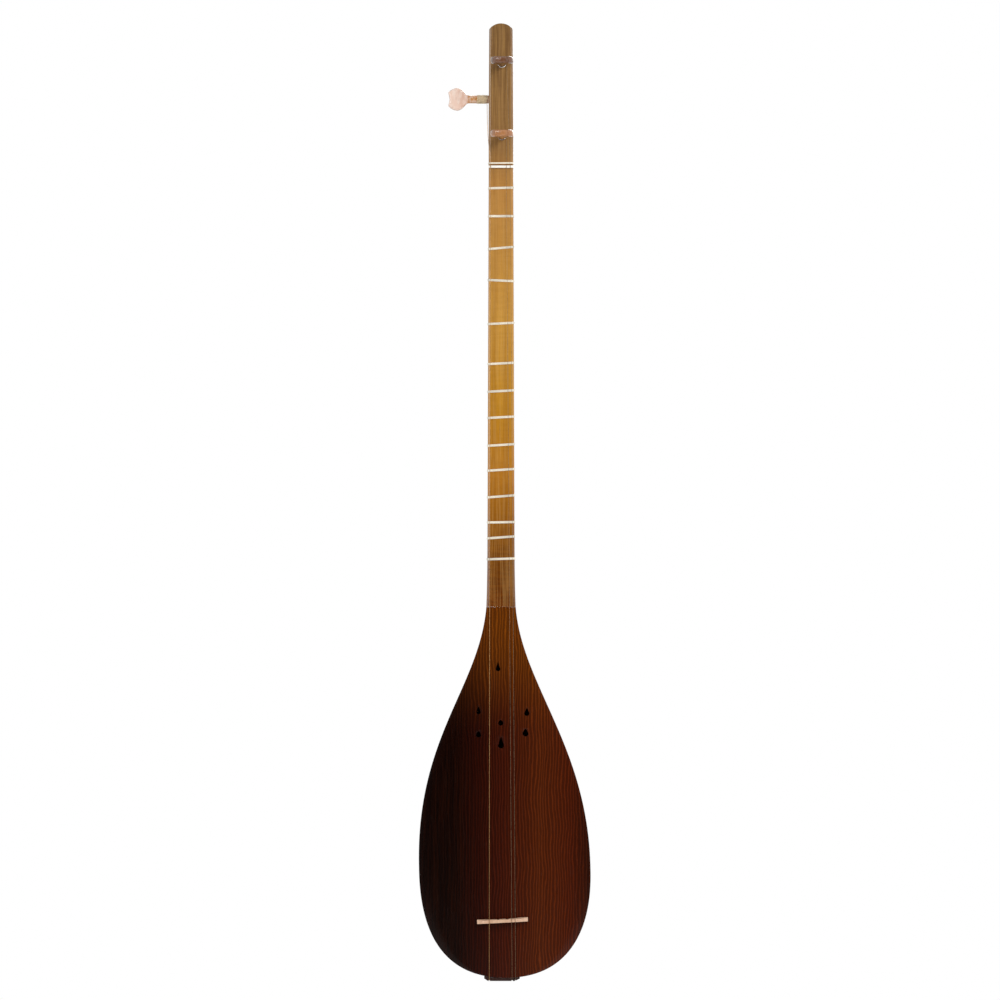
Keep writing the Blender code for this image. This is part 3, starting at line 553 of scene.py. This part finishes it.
def make_side_peg_finish():
    """The side peg: browner wood on the shaft, a pale streaked paddle that is painted glare."""
    material, nodes, links, shader = start_finish("side_peg_lacquer_painted_glare", 0.26, coat=0.3)
    place, split = place_of(nodes, links)
    paddle = range_node(nodes, PADDLE_START_X + PADDLE_BLEND, PADDLE_START_X - PADDLE_BLEND)
    links.new(split.outputs["X"], paddle.inputs["Value"])
    _, factor, a, b, shade = mix_colour(nodes)
    links.new(paddle.outputs["Result"], factor)
    # The paddle's pale colour and the near-white streaks are painted glare on its flat face
    a.default_value = rgb(196, 138, 80)
    b.default_value = rgb(238, 206, 188)
    add_grain(
        nodes, links, shader, place, shade, across=500.0, along=160.0, wave=0.006,
        dark=(0.80, 0.66, 0.58, 1.0), pale=rgb(255, 246, 238), strength=0.6, bump=0.15,
    )
    return material


# Woods: shade, roughness, coat, grain across and along, and its strength.
# Metals: shade, roughness, size of the change of tone, and how metallic.
FINISH = {
    "neck_wood": make_neck_finish(),
    "board_wood": make_board_finish(),
    "block_wood": plain_wood("raw_block", (190, 150, 105), 0.65, 0.0, 700.0, 20.0, 0.5),
    "holder_wood": plain_wood("dark_holder", (44, 16, 5), 0.32, 0.0, 900.0, 60.0, 0.4),
    "peg_wood": make_side_peg_finish(),
    "upper_peg": plain_wood("upper_peg_lacquer", (118, 78, 52), 0.22, 0.4, 900.0, 60.0, 0.45),
    "lower_peg": plain_wood("lower_peg_lacquer", (184, 126, 80), 0.22, 0.4, 900.0, 60.0, 0.45),
    "bridge_wood": plain_wood("bridge_wood", (228, 186, 156), 0.40, 0.1, 900.0, 120.0, 0.35),
    "bone": plain_wood("bone", (255, 252, 244), 0.30, 0.1, 500.0, 90.0, 0.08),
    "gut": plain_wood("gut", (255, 247, 228), 0.36, 0.1, 700.0, 500.0, 0.06),
    "steel": worn_metal("steel_wire", (150, 132, 106), 0.34, 900.0),
    "bronze": worn_metal("bronze_wire", (200, 156, 104), 0.34, 1500.0),
    # The treble windings are steel painted darker, as painted shade under the front paddles
    "treble_turns": worn_metal("wound_steel_painted_shade", (104, 82, 62), 0.60, 1500.0, 0.25),
    # The bass winding is bronze painted paler than its string, as a painted highlight
    "turns": worn_metal("wound_bronze_painted_light", (255, 232, 190), 0.50, 1500.0, 0.15),
    "brass": worn_metal("brass_pin", (190, 150, 80), 0.35, 800.0),
}
RIB_SHADES = (
    (142, 84, 38), (156, 94, 44), (134, 78, 34), (150, 88, 40), (160, 98, 46),
    (138, 80, 36), (152, 92, 42), (144, 84, 38), (132, 76, 34),
)
RIB_FINISHES = [
    plain_wood(f"rib_lacquer_{i}", shade, 0.26, 0.3, 420.0, 10.0, 0.6)
    for i, shade in enumerate(RIB_SHADES, start=1)
]


def dress(piece, material):
    """Gives a piece one material."""
    piece.data.materials.clear()
    piece.data.materials.append(material)


SLOTS = {entry["node"]: entry["material_slot"] for entry in frame["record"]["subparts"]}
for node_name, slot_name in SLOTS.items():
    solid = bpy.data.objects[node_name]
    if node_name.startswith("rib_"):
        dress(solid, RIB_FINISHES[int(node_name[-1]) - 1])
    else:
        dress(solid, FINISH[slot_name])
print("finishes on", len(SLOTS), "solids")

# %% [markdown]
# ## Fine shapes
# The solids that carry the construction have few faces. The visible pieces are modelled again
# with many more, on the same curves and at the same places, and each takes the place of its
# solid. A surface starts as a grid primitive whose points are laid onto the shape.

# %% Modelling helpers
BLOCK_SIZE = 0.1


def select_only(piece):
    """Makes one piece the selected and active one."""
    bpy.ops.object.select_all(action="DESELECT")
    piece.select_set(True)
    bpy.context.view_layer.objects.active = piece


def primitive(add, **values):
    """A new mesh primitive, alone selected and active."""
    bpy.ops.object.select_all(action="DESELECT")
    add(**values)
    return bpy.context.object


def grid_piece(name, columns, rows, place_point):
    """A grid primitive whose points, given as two shares, are laid onto a surface."""
    piece = primitive(
        bpy.ops.mesh.primitive_grid_add, x_subdivisions=columns, y_subdivisions=rows, size=1.0
    )
    piece.name = name
    for vertex in piece.data.vertices:
        vertex.co = place_point(vertex.co.x + 0.5, vertex.co.y + 0.5)
    return piece


def weld(piece, distance=0.000002):
    """Merges points that lie together."""
    select_only(piece)
    bpy.ops.object.mode_set(mode="EDIT")
    bpy.ops.mesh.select_all(action="SELECT")
    bpy.ops.mesh.remove_doubles(threshold=distance)
    bpy.ops.object.mode_set(mode="OBJECT")


def close_ends(piece):
    """Fills the open rims of a piece and points all its faces outwards."""
    select_only(piece)
    bpy.ops.object.mode_set(mode="EDIT")
    bpy.ops.mesh.select_all(action="DESELECT")
    bpy.ops.mesh.select_mode(type="EDGE")
    bpy.ops.mesh.select_non_manifold()
    bpy.ops.mesh.edge_face_add()
    bpy.ops.mesh.select_all(action="SELECT")
    bpy.ops.mesh.normals_make_consistent(inside=False)
    bpy.ops.object.mode_set(mode="OBJECT")


def face_towards(piece, outwards):
    """Turns an open surface round if most of it faces against the given rule."""
    score = sum(face.normal.dot(outwards(face.center)) * face.area for face in piece.data.polygons)
    if score < 0.0:
        piece.data.flip_normals()


def modify(piece, kind, **values):
    """Adds one modifier with the given values and applies it."""
    select_only(piece)
    modifier = piece.modifiers.new(kind.lower(), kind)
    for name, value in values.items():
        setattr(modifier, name, value)
    bpy.ops.object.modifier_apply(modifier=modifier.name)


def subtract(piece, cutter):
    """Cuts one piece with another, which is then removed."""
    modify(piece, "BOOLEAN", operation="DIFFERENCE", solver="EXACT", object=cutter)
    bpy.data.objects.remove(cutter)


def cut_off(piece, z, above):
    """Cuts off all of a piece that lies above or below a height."""
    middle = z + (BLOCK_SIZE / 2 if above else -BLOCK_SIZE / 2)
    block = primitive(bpy.ops.mesh.primitive_cube_add, size=BLOCK_SIZE, location=(0, 0, middle))
    subtract(piece, block)


def break_edges(piece, width, segments=2, degrees=50.0):
    """Rounds the sharp edges of a piece with a small bevel."""
    modify(
        piece, "BEVEL", width=width, segments=segments, limit_method="ANGLE",
        angle_limit=math.radians(degrees),
    )


def smooth(piece, degrees=40.0):
    """Shades a piece smooth, apart from its sharp edges."""
    select_only(piece)
    bpy.ops.object.shade_smooth_by_angle(angle=math.radians(degrees))


def settle(piece, body, material, slot, *nodes):
    """Gives a finished piece its material and body, and hides the solids that it stands for."""
    dress(piece, material)
    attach(piece, body)
    if nodes:
        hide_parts(*nodes)


# %% [markdown]
# The bowl is one smooth surface: an upper and a lower curve give its half width and its depth
# at each height, and each level is a slightly squared half ellipse.

# %% The bowl's surface
TAIL_Z = 0.0030
WIDEST_Z = 0.1114
JOINT_Z = 0.3630
HALF_WIDTH = 0.0833
BOWL_DEPTH = 0.1320
JOINT_HALF_WIDTH = 0.0143
JOINT_DEPTH = 0.0234
LOW_CURVE = (
    (TAIL_Z, TAIL_Z, 0.0911, WIDEST_Z),
    (0.0, 0.0853, HALF_WIDTH, HALF_WIDTH),
    (0.0, 0.1000, BOWL_DEPTH, BOWL_DEPTH),
)
HIGH_CURVE = (
    (WIDEST_Z, 0.2332, 0.2855, JOINT_Z),
    (HALF_WIDTH, HALF_WIDTH, 0.0209, JOINT_HALF_WIDTH),
    (BOWL_DEPTH, BOWL_DEPTH, 0.0494, JOINT_DEPTH),
)
SQUARENESS = 2.2
LEAN = 0.0044
LEAN_TOP_Z = 0.273
LEAN_LENGTH = 0.223
BOARD_THICKNESS = 0.0028
RIM_Y = 0.0030


def bezier(controls, t):
    """The value of a cubic curve with four control values at t."""
    a, b, c, d = controls
    s = 1.0 - t
    return s ** 3 * a + 3 * s * s * t * b + 3 * s * t * t * c + t ** 3 * d


def bowl_profile(t):
    """Height, half width and depth: t is 0 at the tail, 1 at the widest place, 2 at the neck."""
    curve = LOW_CURVE if t <= 1.0 else HIGH_CURVE
    share = t if t <= 1.0 else t - 1.0
    return [bezier(controls, share) for controls in curve]


def lean(z):
    """How far the bowl's middle stands to the treble side."""
    share = min(1.0, max(0.0, (LEAN_TOP_Z - z) / LEAN_LENGTH))
    return LEAN * share * share * (3.0 - 2.0 * share)


def rounded(value):
    """A cosine or sine squared off a little."""
    return math.copysign(abs(value) ** (2.0 / SQUARENESS), value)


def bowl_point(t, angle):
    """A point of the bowl's outer face."""
    z, width, depth = bowl_profile(t)
    x = lean(z) + width * rounded(math.cos(angle))
    return Vector((x, RIM_Y + depth * rounded(math.sin(angle)), z))


# %% [markdown]
# Each rib is a strip of that surface between two seams, flattened a little across as a bent
# stave is. Solidify gives it its thickness and Bevel breaks its edges, so the seams show as
# fine lines.

# %% Ribs
RIBS = 9
RIB_THICKNESS = 0.0025
RIB_ROUNDNESS = 0.62
SEAM = 0.00006
RIB_COLUMNS = 8
RIB_ROWS = 72
RIB_TIP = 0.045
RIB_EDGE = 0.00022
BOWL_MIDDLE = Vector((0.0, 0.03, 0.13))


def rib_seams(samples=720):
    """The angles between the ribs, which share out the widest section's arc evenly."""
    angles = [math.pi * i / samples for i in range(samples + 1)]
    lengths = [0.0]
    for a, b in zip(angles, angles[1:]):
        lengths.append(lengths[-1] + (bowl_point(1.0, b) - bowl_point(1.0, a)).length)
    marks = [lengths[-1] * k / RIBS - 1e-9 for k in range(RIBS + 1)]
    return [next(a for a, s in zip(angles, lengths) if s >= mark) for mark in marks]


def rib_surface(first, last):
    """The rule that lays a grid onto the strip between two seams."""
    def lay(u, v):
        t = RIB_TIP + (2.0 - RIB_TIP) * v
        start, end = bowl_point(t, first), bowl_point(t, last)
        margin = SEAM / (end - start).length
        share = margin + (1.0 - 2.0 * margin) * u
        on_bowl = bowl_point(t, first + (last - first) * share)
        return start.lerp(end, share).lerp(on_bowl, RIB_ROUNDNESS)
    return lay


def away_from_middle(point):
    """Outwards from the middle of the bowl."""
    return point - BOWL_MIDDLE


seams = rib_seams()
for index in range(1, RIBS + 1):
    strip = rib_surface(seams[RIBS - index], seams[RIBS - index + 1])
    stave = grid_piece(f"stave_{index}", RIB_COLUMNS, RIB_ROWS, strip)
    face_towards(stave, away_from_middle)
    modify(stave, "SOLIDIFY", thickness=RIB_THICKNESS, offset=-1.0)
    break_edges(stave, RIB_EDGE)
    smooth(stave)
    settle(stave, "root", RIB_FINISHES[index - 1], "rib_wood", f"rib_{index}")
print("ribs", RIBS)

# %% [markdown]
# The soundboard is a thin plate on the bowl's rim. Its seven drop-shaped holes are cut with
# drop-shaped cylinders, and a small bevel rounds every edge.

# %% Soundboard
# Place across and up, radius and height of the tip
SOUND_HOLES = (
    (-0.0029, 0.3030, 0.0022, 0.0070), (-0.0218, 0.2612, 0.0022, 0.0055),
    (0.0251, 0.2598, 0.0024, 0.0055), (-0.0003, 0.2505, 0.0025, 0.0032),
    (-0.0218, 0.2389, 0.0024, 0.0040), (0.0238, 0.2404, 0.0029, 0.0045),
    (0.0000, 0.2287, 0.0029, 0.0085),
)
BOARD_EDGE = 0.00025
BOARD_START = 0.02
# How far the board stands past its joint with the neck, after it is cut there
BOARD_PAST_JOINT = 0.0001


def lay_board(u, v):
    """The front of the soundboard, which is cut at the neck afterwards."""
    t = BOARD_START + 2.0 * v
    z, width, _ = bowl_profile(t)
    return Vector((lean(z) + width * (2.0 * u - 1.0), 0.0, z))


def drop_cutter(x, z, radius, tip):
    """A cylinder whose upper points are drawn up to a tip."""
    cutter = primitive(bpy.ops.mesh.primitive_cylinder_add, vertices=32, radius=radius, depth=0.02)
    for vertex in cutter.data.vertices:
        along, across = vertex.co.y / radius, vertex.co.x
        rise = max(0.0, along)
        drawn = rise ** 3 * (tip - radius)
        vertex.co = (x + across * (1.0 - 0.35 * rise * rise), vertex.co.z, z + vertex.co.y + drawn)
    select_only(cutter)
    bpy.ops.object.mode_set(mode="EDIT")
    bpy.ops.mesh.select_all(action="SELECT")
    bpy.ops.mesh.normals_make_consistent(inside=False)
    bpy.ops.object.mode_set(mode="OBJECT")
    return cutter


top_board = grid_piece("top_board", 12, 90, lay_board)
face_towards(top_board, lambda point: Vector((0.0, -1.0, 0.0)))
modify(top_board, "SOLIDIFY", thickness=BOARD_THICKNESS, offset=-1.0)
for hole in SOUND_HOLES:
    subtract(top_board, drop_cutter(*hole))
break_edges(top_board, BOARD_EDGE)
cut_off(top_board, JOINT_Z + BOARD_PAST_JOINT, above=True)
smooth(top_board)
settle(top_board, "root", FINISH["board_wood"], "board_wood", "soundboard")
print("soundboard faces", len(top_board.data.polygons))

# %% [markdown]
# Neck and head are one stick. Its section is flat in front with rounded edges and round
# behind. The grid goes round the section and up the neck, is welded along its seam and closed
# at its ends. The domed top and the peg holes are cut.

# %% Neck
# Height, half width and depth
NECK_STATIONS = (
    (0.3633, 0.0143, 0.0265), (0.3780, 0.0138, 0.0249), (0.4000, 0.0134, 0.0236),
    (0.4350, 0.0132, 0.0230), (0.7900, 0.0120, 0.0200), (0.8300, 0.0121, 0.0200),
    (0.9400, 0.0114, 0.0190),
)
# Shares of half the way round the section at which its back and its rounded edge end
BACK_END = 0.30
EDGE_END = 0.40
HEAD_EDGE = 0.0009
EDGE_RADIUS = 0.0025
HEAD_TOP_Z = 0.9300
HEAD_ARC_RADIUS = 0.0144
HEAD_MIDDLE_Y = 0.01
AROUND = 56
NECK_ROWS = 120
HEEL_SPARE = 0.003


def neck_size(z):
    """Half width and depth of the neck at a height."""
    for (z0, width0, depth0), (z1, width1, depth1) in zip(NECK_STATIONS, NECK_STATIONS[1:]):
        if z <= z1:
            break
    share = (z - z0) / (z1 - z0)
    return width0 + (width1 - width0) * share, depth0 + (depth1 - depth0) * share


def round_neck(z, share, grow=0.0, front=None):
    """A point round the neck, from the middle of its back by the bass side and the front."""
    width, depth = neck_size(z)
    side = share if share <= 0.5 else 1.0 - share
    front_y = -(grow if front is None else front)
    if side <= BACK_END:
        angle = math.radians(90.0 + 90.0 * side / BACK_END)
        x = (width + grow) * rounded(math.cos(angle))
        y = EDGE_RADIUS + (depth + grow - EDGE_RADIUS) * rounded(math.sin(angle))
    elif side <= EDGE_END:
        angle = math.radians(90.0 * (side - BACK_END) / (EDGE_END - BACK_END))
        x = -(width - EDGE_RADIUS) - (EDGE_RADIUS + grow) * math.cos(angle)
        y = EDGE_RADIUS + (front_y - EDGE_RADIUS) * math.sin(angle)
    else:
        x = -(width - EDGE_RADIUS) * (0.5 - side) / (0.5 - EDGE_END)
        y = front_y
    return (x if share <= 0.5 else -x), y


def lay_neck(u, v):
    """The neck's surface, with a spare length at its heel that is cut off afterwards."""
    low, high = NECK_STATIONS[0][0] - HEEL_SPARE, NECK_STATIONS[-1][0]
    z = low + (high - low) * v
    x, y = round_neck(z, u)
    return Vector((x, y, z))


def above_head():
    """What is cut away above the domed top: a block with a round hollow in its underside."""
    middle_z = HEAD_TOP_Z - HEAD_ARC_RADIUS
    block = primitive(
        bpy.ops.mesh.primitive_cube_add, size=0.06, location=(0.0, HEAD_MIDDLE_Y, middle_z + 0.03)
    )
    hollow = primitive(
        bpy.ops.mesh.primitive_cylinder_add, vertices=128, radius=HEAD_ARC_RADIUS, depth=0.08,
        location=(0.0, HEAD_MIDDLE_Y, middle_z), rotation=(math.pi / 2, 0.0, 0.0),
    )
    subtract(block, hollow)
    return block


def peg_hole(place, along):
    """A plain cylinder through the head on a peg's axis."""
    turn = Vector(along).to_track_quat("Z", "Y").to_euler()
    return primitive(
        bpy.ops.mesh.primitive_cylinder_add, vertices=48, radius=HOLE_RADIUS, depth=0.05,
        location=place, rotation=turn,
    )


SIDE_PEG_Z = 0.8570
UPPER_PEG_Z = 0.8912
LOWER_PEG_Z = 0.8206
FRONT_PEG_X = 0.0010
SIDE_PEG_Y = 0.0102
HOLE_RADIUS = 0.0041

stick = grid_piece("stick", AROUND, NECK_ROWS, lay_neck)
weld(stick)
close_ends(stick)
subtract(stick, above_head())
break_edges(stick, HEAD_EDGE, segments=3, degrees=42.0)
cut_off(stick, NECK_STATIONS[0][0], above=False)
subtract(stick, peg_hole((0.0, SIDE_PEG_Y, SIDE_PEG_Z), (1, 0, 0)))
for hole_z in (UPPER_PEG_Z, LOWER_PEG_Z):
    subtract(stick, peg_hole((FRONT_PEG_X, HEAD_MIDDLE_Y, hole_z), (0, 1, 0)))
smooth(stick)
settle(stick, "root", FINISH["neck_wood"], "neck_wood", "neck")
print("neck faces", len(stick.data.polygons))

# %% [markdown]
# Frets, string windings and strings are tubes along a line. Each fret is one length of gut
# wound three times round the neck, its turns touching, with its knot behind the bass edge.

# %% Tubes


def tube(name, points, radius, sides=2):
    """A closed round tube along points, made from a curve and turned into a mesh."""
    curve = bpy.data.curves.new(name, "CURVE")
    curve.dimensions = "3D"
    curve.bevel_depth = radius
    curve.bevel_resolution = sides
    curve.use_fill_caps = True
    spline = curve.splines.new("POLY")
    spline.points.add(len(points) - 1)
    for target, point in zip(spline.points, points):
        target.co = (*point, 1.0)
    piece = bpy.data.objects.new(name, curve)
    scene.collection.objects.link(piece)
    select_only(piece)
    bpy.ops.object.convert(target="MESH")
    piece = bpy.context.object
    weld(piece, 0.0000005)
    smooth(piece, 60.0)
    return piece


# %% Frets
FRET_CENTS = (49, 117, 197, 283, 403, 523, 611, 699, 797, 890, 995, 1104, 1171, 1271)
# How far each fret slants, in degrees
FRET_SLANTS = (1.1, -0.3, 4.6, -2.9, 2.3, 2.6, 2.6, 2.6, 3.1, 3.4, 4.0, 0.6, 3.7, 1.4)
NUT_Z = 0.7907
BRIDGE_Z = 0.0588
GUT_RADIUS = 0.00037
GUT_LIFT = 0.00034
TURN_POINTS = 56
KNOT_SHARE = 0.17
FRET_TURNS = 3
NUT_TIE_TURNS = 2
NUT_TIE_Z = 0.7942
NUT_TIE_FRONT = 0.0038
# The knot's reach along the neck's edge, outwards and up, and how lumpy it is
KNOT_SIZE = (0.0015, 0.0007, 0.0013)
KNOT_LUMPS = 0.16
KNOT_OUT = 0.0010
KNOT_CENTRE_Y = 0.010
UP = Vector((0.0, 0.0, 1.0))


def wrap(middle_z, turns, slant, front=None):
    """The line of a gut winding: it starts and ends at its knot."""
    points = []
    for k in range(turns * TURN_POINTS + 1):
        share = (KNOT_SHARE + k / TURN_POINTS) % 1.0
        x, y = round_neck(middle_z, share, GUT_LIFT, front)
        climb = 2 * GUT_RADIUS * (k / TURN_POINTS - turns / 2)
        points.append(Vector((x, y, middle_z + climb + x * math.tan(slant))))
    return points


def add_knot(piece, middle_z, slant):
    """A small flattened knot with two cut ends, joined to a fret."""
    x, y = round_neck(middle_z, KNOT_SHARE, KNOT_OUT)
    knot = primitive(
        bpy.ops.mesh.primitive_uv_sphere_add, segments=16, ring_count=10, radius=1.0
    )
    middle = Vector((x, y, middle_z + x * math.tan(slant)))
    out = Vector((x, y - KNOT_CENTRE_Y, 0.0)).normalized()
    side = UP.cross(out)
    for vertex in knot.data.vertices:
        a, b, c = vertex.co
        lump = 1.0 + KNOT_LUMPS * math.sin(5.0 * math.atan2(b, a) + 3.0 * c)
        across, outwards, upwards = (value * size for value, size in zip((a, b, c), KNOT_SIZE))
        vertex.co = middle + side * across * lump + out * outwards + UP * upwards * lump
    start = middle + side * 0.0005
    end = middle + side * 0.0022 + out * 0.0005
    ends = [tube("gut_end", [start, end + UP * lift], GUT_RADIUS) for lift in (0.0010, -0.0013)]
    bpy.ops.object.select_all(action="DESELECT")
    for part in [knot, *ends]:
        part.select_set(True)
    piece.select_set(True)
    bpy.context.view_layer.objects.active = piece
    bpy.ops.object.join()
    smooth(piece, 60.0)


for number, (cents, degrees) in enumerate(zip(FRET_CENTS, FRET_SLANTS), start=1):
    fret_z = BRIDGE_Z + (NUT_Z - BRIDGE_Z) * 2.0 ** (-cents / 1200.0)
    slant = math.radians(degrees)
    gut = tube(f"gut_fret_{number:02d}", wrap(fret_z, FRET_TURNS, slant), GUT_RADIUS)
    add_knot(gut, fret_z, slant)
    settle(gut, f"fret_{number:02d}_wrap", FINISH["gut"], "gut", f"fret_{number:02d}")
tie_line = wrap(NUT_TIE_Z, NUT_TIE_TURNS, 0.0, front=NUT_TIE_FRONT)
gut = tube("gut_nut_tie", tie_line, GUT_RADIUS)
settle(gut, "root", FINISH["gut"], "gut", "nut_tie")
print("frets", len(FRET_CENTS))

# %% [markdown]
# The strings run whole from their pins over the holder, the bridge and the nut to their pegs.
# The bass string is wound with bronze, the two trebles are plain steel.

# %% Strings and windings
SHAFT_RADIUS = 0.00395
# Places across at the holder, the bridge and the nut, and the radius
STRINGS = {
    "bass": (-0.0114, -0.0114, -0.0104, 0.00022),
    "inner": (0.0108, 0.0104, 0.0052, 0.00013),
    "outer": (0.0141, 0.0138, 0.0089, 0.00013),
}
BRIDGE_TOP_Y = -0.0090
NUT_TOP_Y = -0.0024
PIN_Z = 0.00145
PIN_RADIUS = 0.0005
HOLDER_BACK_Y = 0.0130
LOOP_CLEARANCE = 0.00012
LOOP_POINTS = 18
PEG_CLEARANCE = 0.00050
WINDING_STEPS = 20
# Turns, pitch, start along the peg, and the body that carries them
WINDINGS = {
    "bass": (18, 0.00058, 0.0010, "peg_side"),
    "inner": (12, 0.00040, 0.0034, "peg_lower"),
    "outer": (12, 0.00040, 0.0034, "peg_upper"),
}
BRIDGE_TILT = math.radians(3.0)


def tail_end(x, radius):
    """Round the pin, through the groove and up over the front of the holder."""
    reach = PIN_RADIUS + radius + LOOP_CLEARANCE
    points = []
    for i in range(LOOP_POINTS + 1):
        angle = math.radians(180.0 - 270.0 * i / LOOP_POINTS)
        y = HOLDER_BACK_Y + 0.0016 - 0.0008 * i / LOOP_POINTS
        points.append((x + reach * math.cos(angle), y, PIN_Z + reach * math.sin(angle)))
    points += [
        (x, HOLDER_BACK_Y - 0.0004, 0.00055), (x, 0.0010, 0.00050), (x, -0.0002, 0.00055),
        (x, -0.0007, 0.00080), (x, -0.0010, 0.00125), (x, -0.0011, 0.0022),
        (x, -0.0014, 0.0040),
    ]
    return points


def front_peg_z(string):
    """The height of a treble string's peg."""
    return UPPER_PEG_Z if string == "outer" else LOWER_PEG_Z


def peg_end(string):
    """From the nut to where the winding on the peg begins."""
    if string == "bass":
        return [
            (-0.0112, -0.0018, 0.8050), (-0.0121, -0.0008, 0.8140), (-0.0128, 0.0010, 0.8230),
            (-0.0133, 0.0036, 0.8380),
            (-0.0136, SIDE_PEG_Y - SHAFT_RADIUS - 0.0003, 0.8560),
        ]
    return [(FRONT_PEG_X + SHAFT_RADIUS + PEG_CLEARANCE, -0.0036, front_peg_z(string) - 0.0005)]


def winding_points(string, turns, pitch, start, radius):
    """The turns of a string on its peg's shaft."""
    reach = SHAFT_RADIUS + radius
    points = []
    for k in range(turns * WINDING_STEPS + 1):
        angle = 2 * math.pi * k / WINDING_STEPS
        a, b = reach * math.cos(angle), reach * math.sin(angle)
        along = start + pitch * k / WINDING_STEPS
        if string == "bass":
            points.append((-(neck_size(SIDE_PEG_Z)[0] + along), SIDE_PEG_Y - a, SIDE_PEG_Z + b))
        else:
            points.append((FRONT_PEG_X + a, -along, front_peg_z(string) + b))
    return points


for string, (holder_x, bridge_x, nut_x, radius) in STRINGS.items():
    metal = "bronze" if string == "bass" else "steel"
    bridge_z = BRIDGE_Z + bridge_x * math.tan(BRIDGE_TILT)
    route = tail_end(holder_x, radius) + [
        (bridge_x, BRIDGE_TOP_Y, bridge_z - 0.0012),
        (bridge_x, BRIDGE_TOP_Y, bridge_z + 0.0012),
        (nut_x, NUT_TOP_Y, NUT_Z - 0.0008),
        (nut_x, NUT_TOP_Y, NUT_Z + 0.0008),
        (nut_x, NUT_TOP_Y - 0.0001, NUT_TIE_Z),
    ] + peg_end(string)
    wire = tube(f"wire_{string}", route, radius, 3)
    settle(wire, "root", FINISH[metal], metal, f"string_{string}")
    turns, pitch, start, body = WINDINGS[string]
    winding = winding_points(string, turns, pitch, start, radius)
    turns_piece = tube(f"turns_{string}", winding, radius)
    # The darker treble windings are painted shade; the paler bass winding is painted light
    turn_finish = FINISH["turns"] if string == "bass" else FINISH["treble_turns"]
    settle(turns_piece, body, turn_finish, metal, f"winding_{string}")
print("strings", len(STRINGS))

# %% [markdown]
# Pegs, bridge, nut and string holder are carved by hand. Each starts as a copy of its solid,
# is remeshed finely and smoothed, which rounds its edges as a knife and sandpaper do.

# %% Carved pieces


def carved(name, node, voxel, rounds):
    """A fine, softened copy of a solid."""
    piece = bpy.data.objects.new(name, bpy.data.objects[node].data.copy())
    scene.collection.objects.link(piece)
    weld(piece)
    modify(piece, "REMESH", mode="VOXEL", voxel_size=voxel)
    modify(piece, "SMOOTH", factor=0.5, iterations=rounds)
    smooth(piece, 70.0)
    return piece


# Place across and width
BRIDGE_SCOOPS = ((-0.0029, 0.0039), (0.0060, 0.0060))
SCOOP_DEPTH = 0.0009
BRIDGE_HALF_THICKNESS = 0.0022


def scoop_cutter(x, width):
    """A cylinder that hollows the bridge's upper edge a little."""
    radius = width * width / (8.0 * SCOOP_DEPTH) + SCOOP_DEPTH / 2.0
    edge_z = BRIDGE_Z + BRIDGE_HALF_THICKNESS + x * math.tan(BRIDGE_TILT)
    return primitive(
        bpy.ops.mesh.primitive_cylinder_add, vertices=64, radius=radius, depth=0.020,
        location=(x, -0.0045, edge_z - SCOOP_DEPTH + radius), rotation=(math.pi / 2, 0.0, 0.0),
    )


# Name, solid, grain of the remesh, rounds of smoothing, body, material slot and finish
CARVED = (
    ("carved_peg_side", "peg_side", 0.00030, 5, "peg_side", "peg_wood", "peg_wood"),
    ("carved_peg_upper", "peg_upper", 0.00030, 5, "peg_upper", "peg_wood", "upper_peg"),
    ("carved_peg_lower", "peg_lower", 0.00030, 5, "peg_lower", "peg_wood", "lower_peg"),
    ("carved_bridge", "bridge", 0.00022, 4, "bridge", "bridge_wood", "bridge_wood"),
    ("carved_nut", "nut", 0.00015, 3, "root", "bone", "bone"),
    ("carved_holder", "string_holder", 0.00022, 3, "root", "holder_wood", "holder_wood"),
)
for name, node, voxel, rounds, body, slot, look in CARVED:
    piece = carved(name, node, voxel, rounds)
    if node == "bridge":
        for scoop_x, scoop_width in BRIDGE_SCOOPS:
            subtract(piece, scoop_cutter(scoop_x, scoop_width))
        smooth(piece, 50.0)
    settle(piece, body, FINISH[look], slot, node)
    print(name, "faces", len(piece.data.polygons))
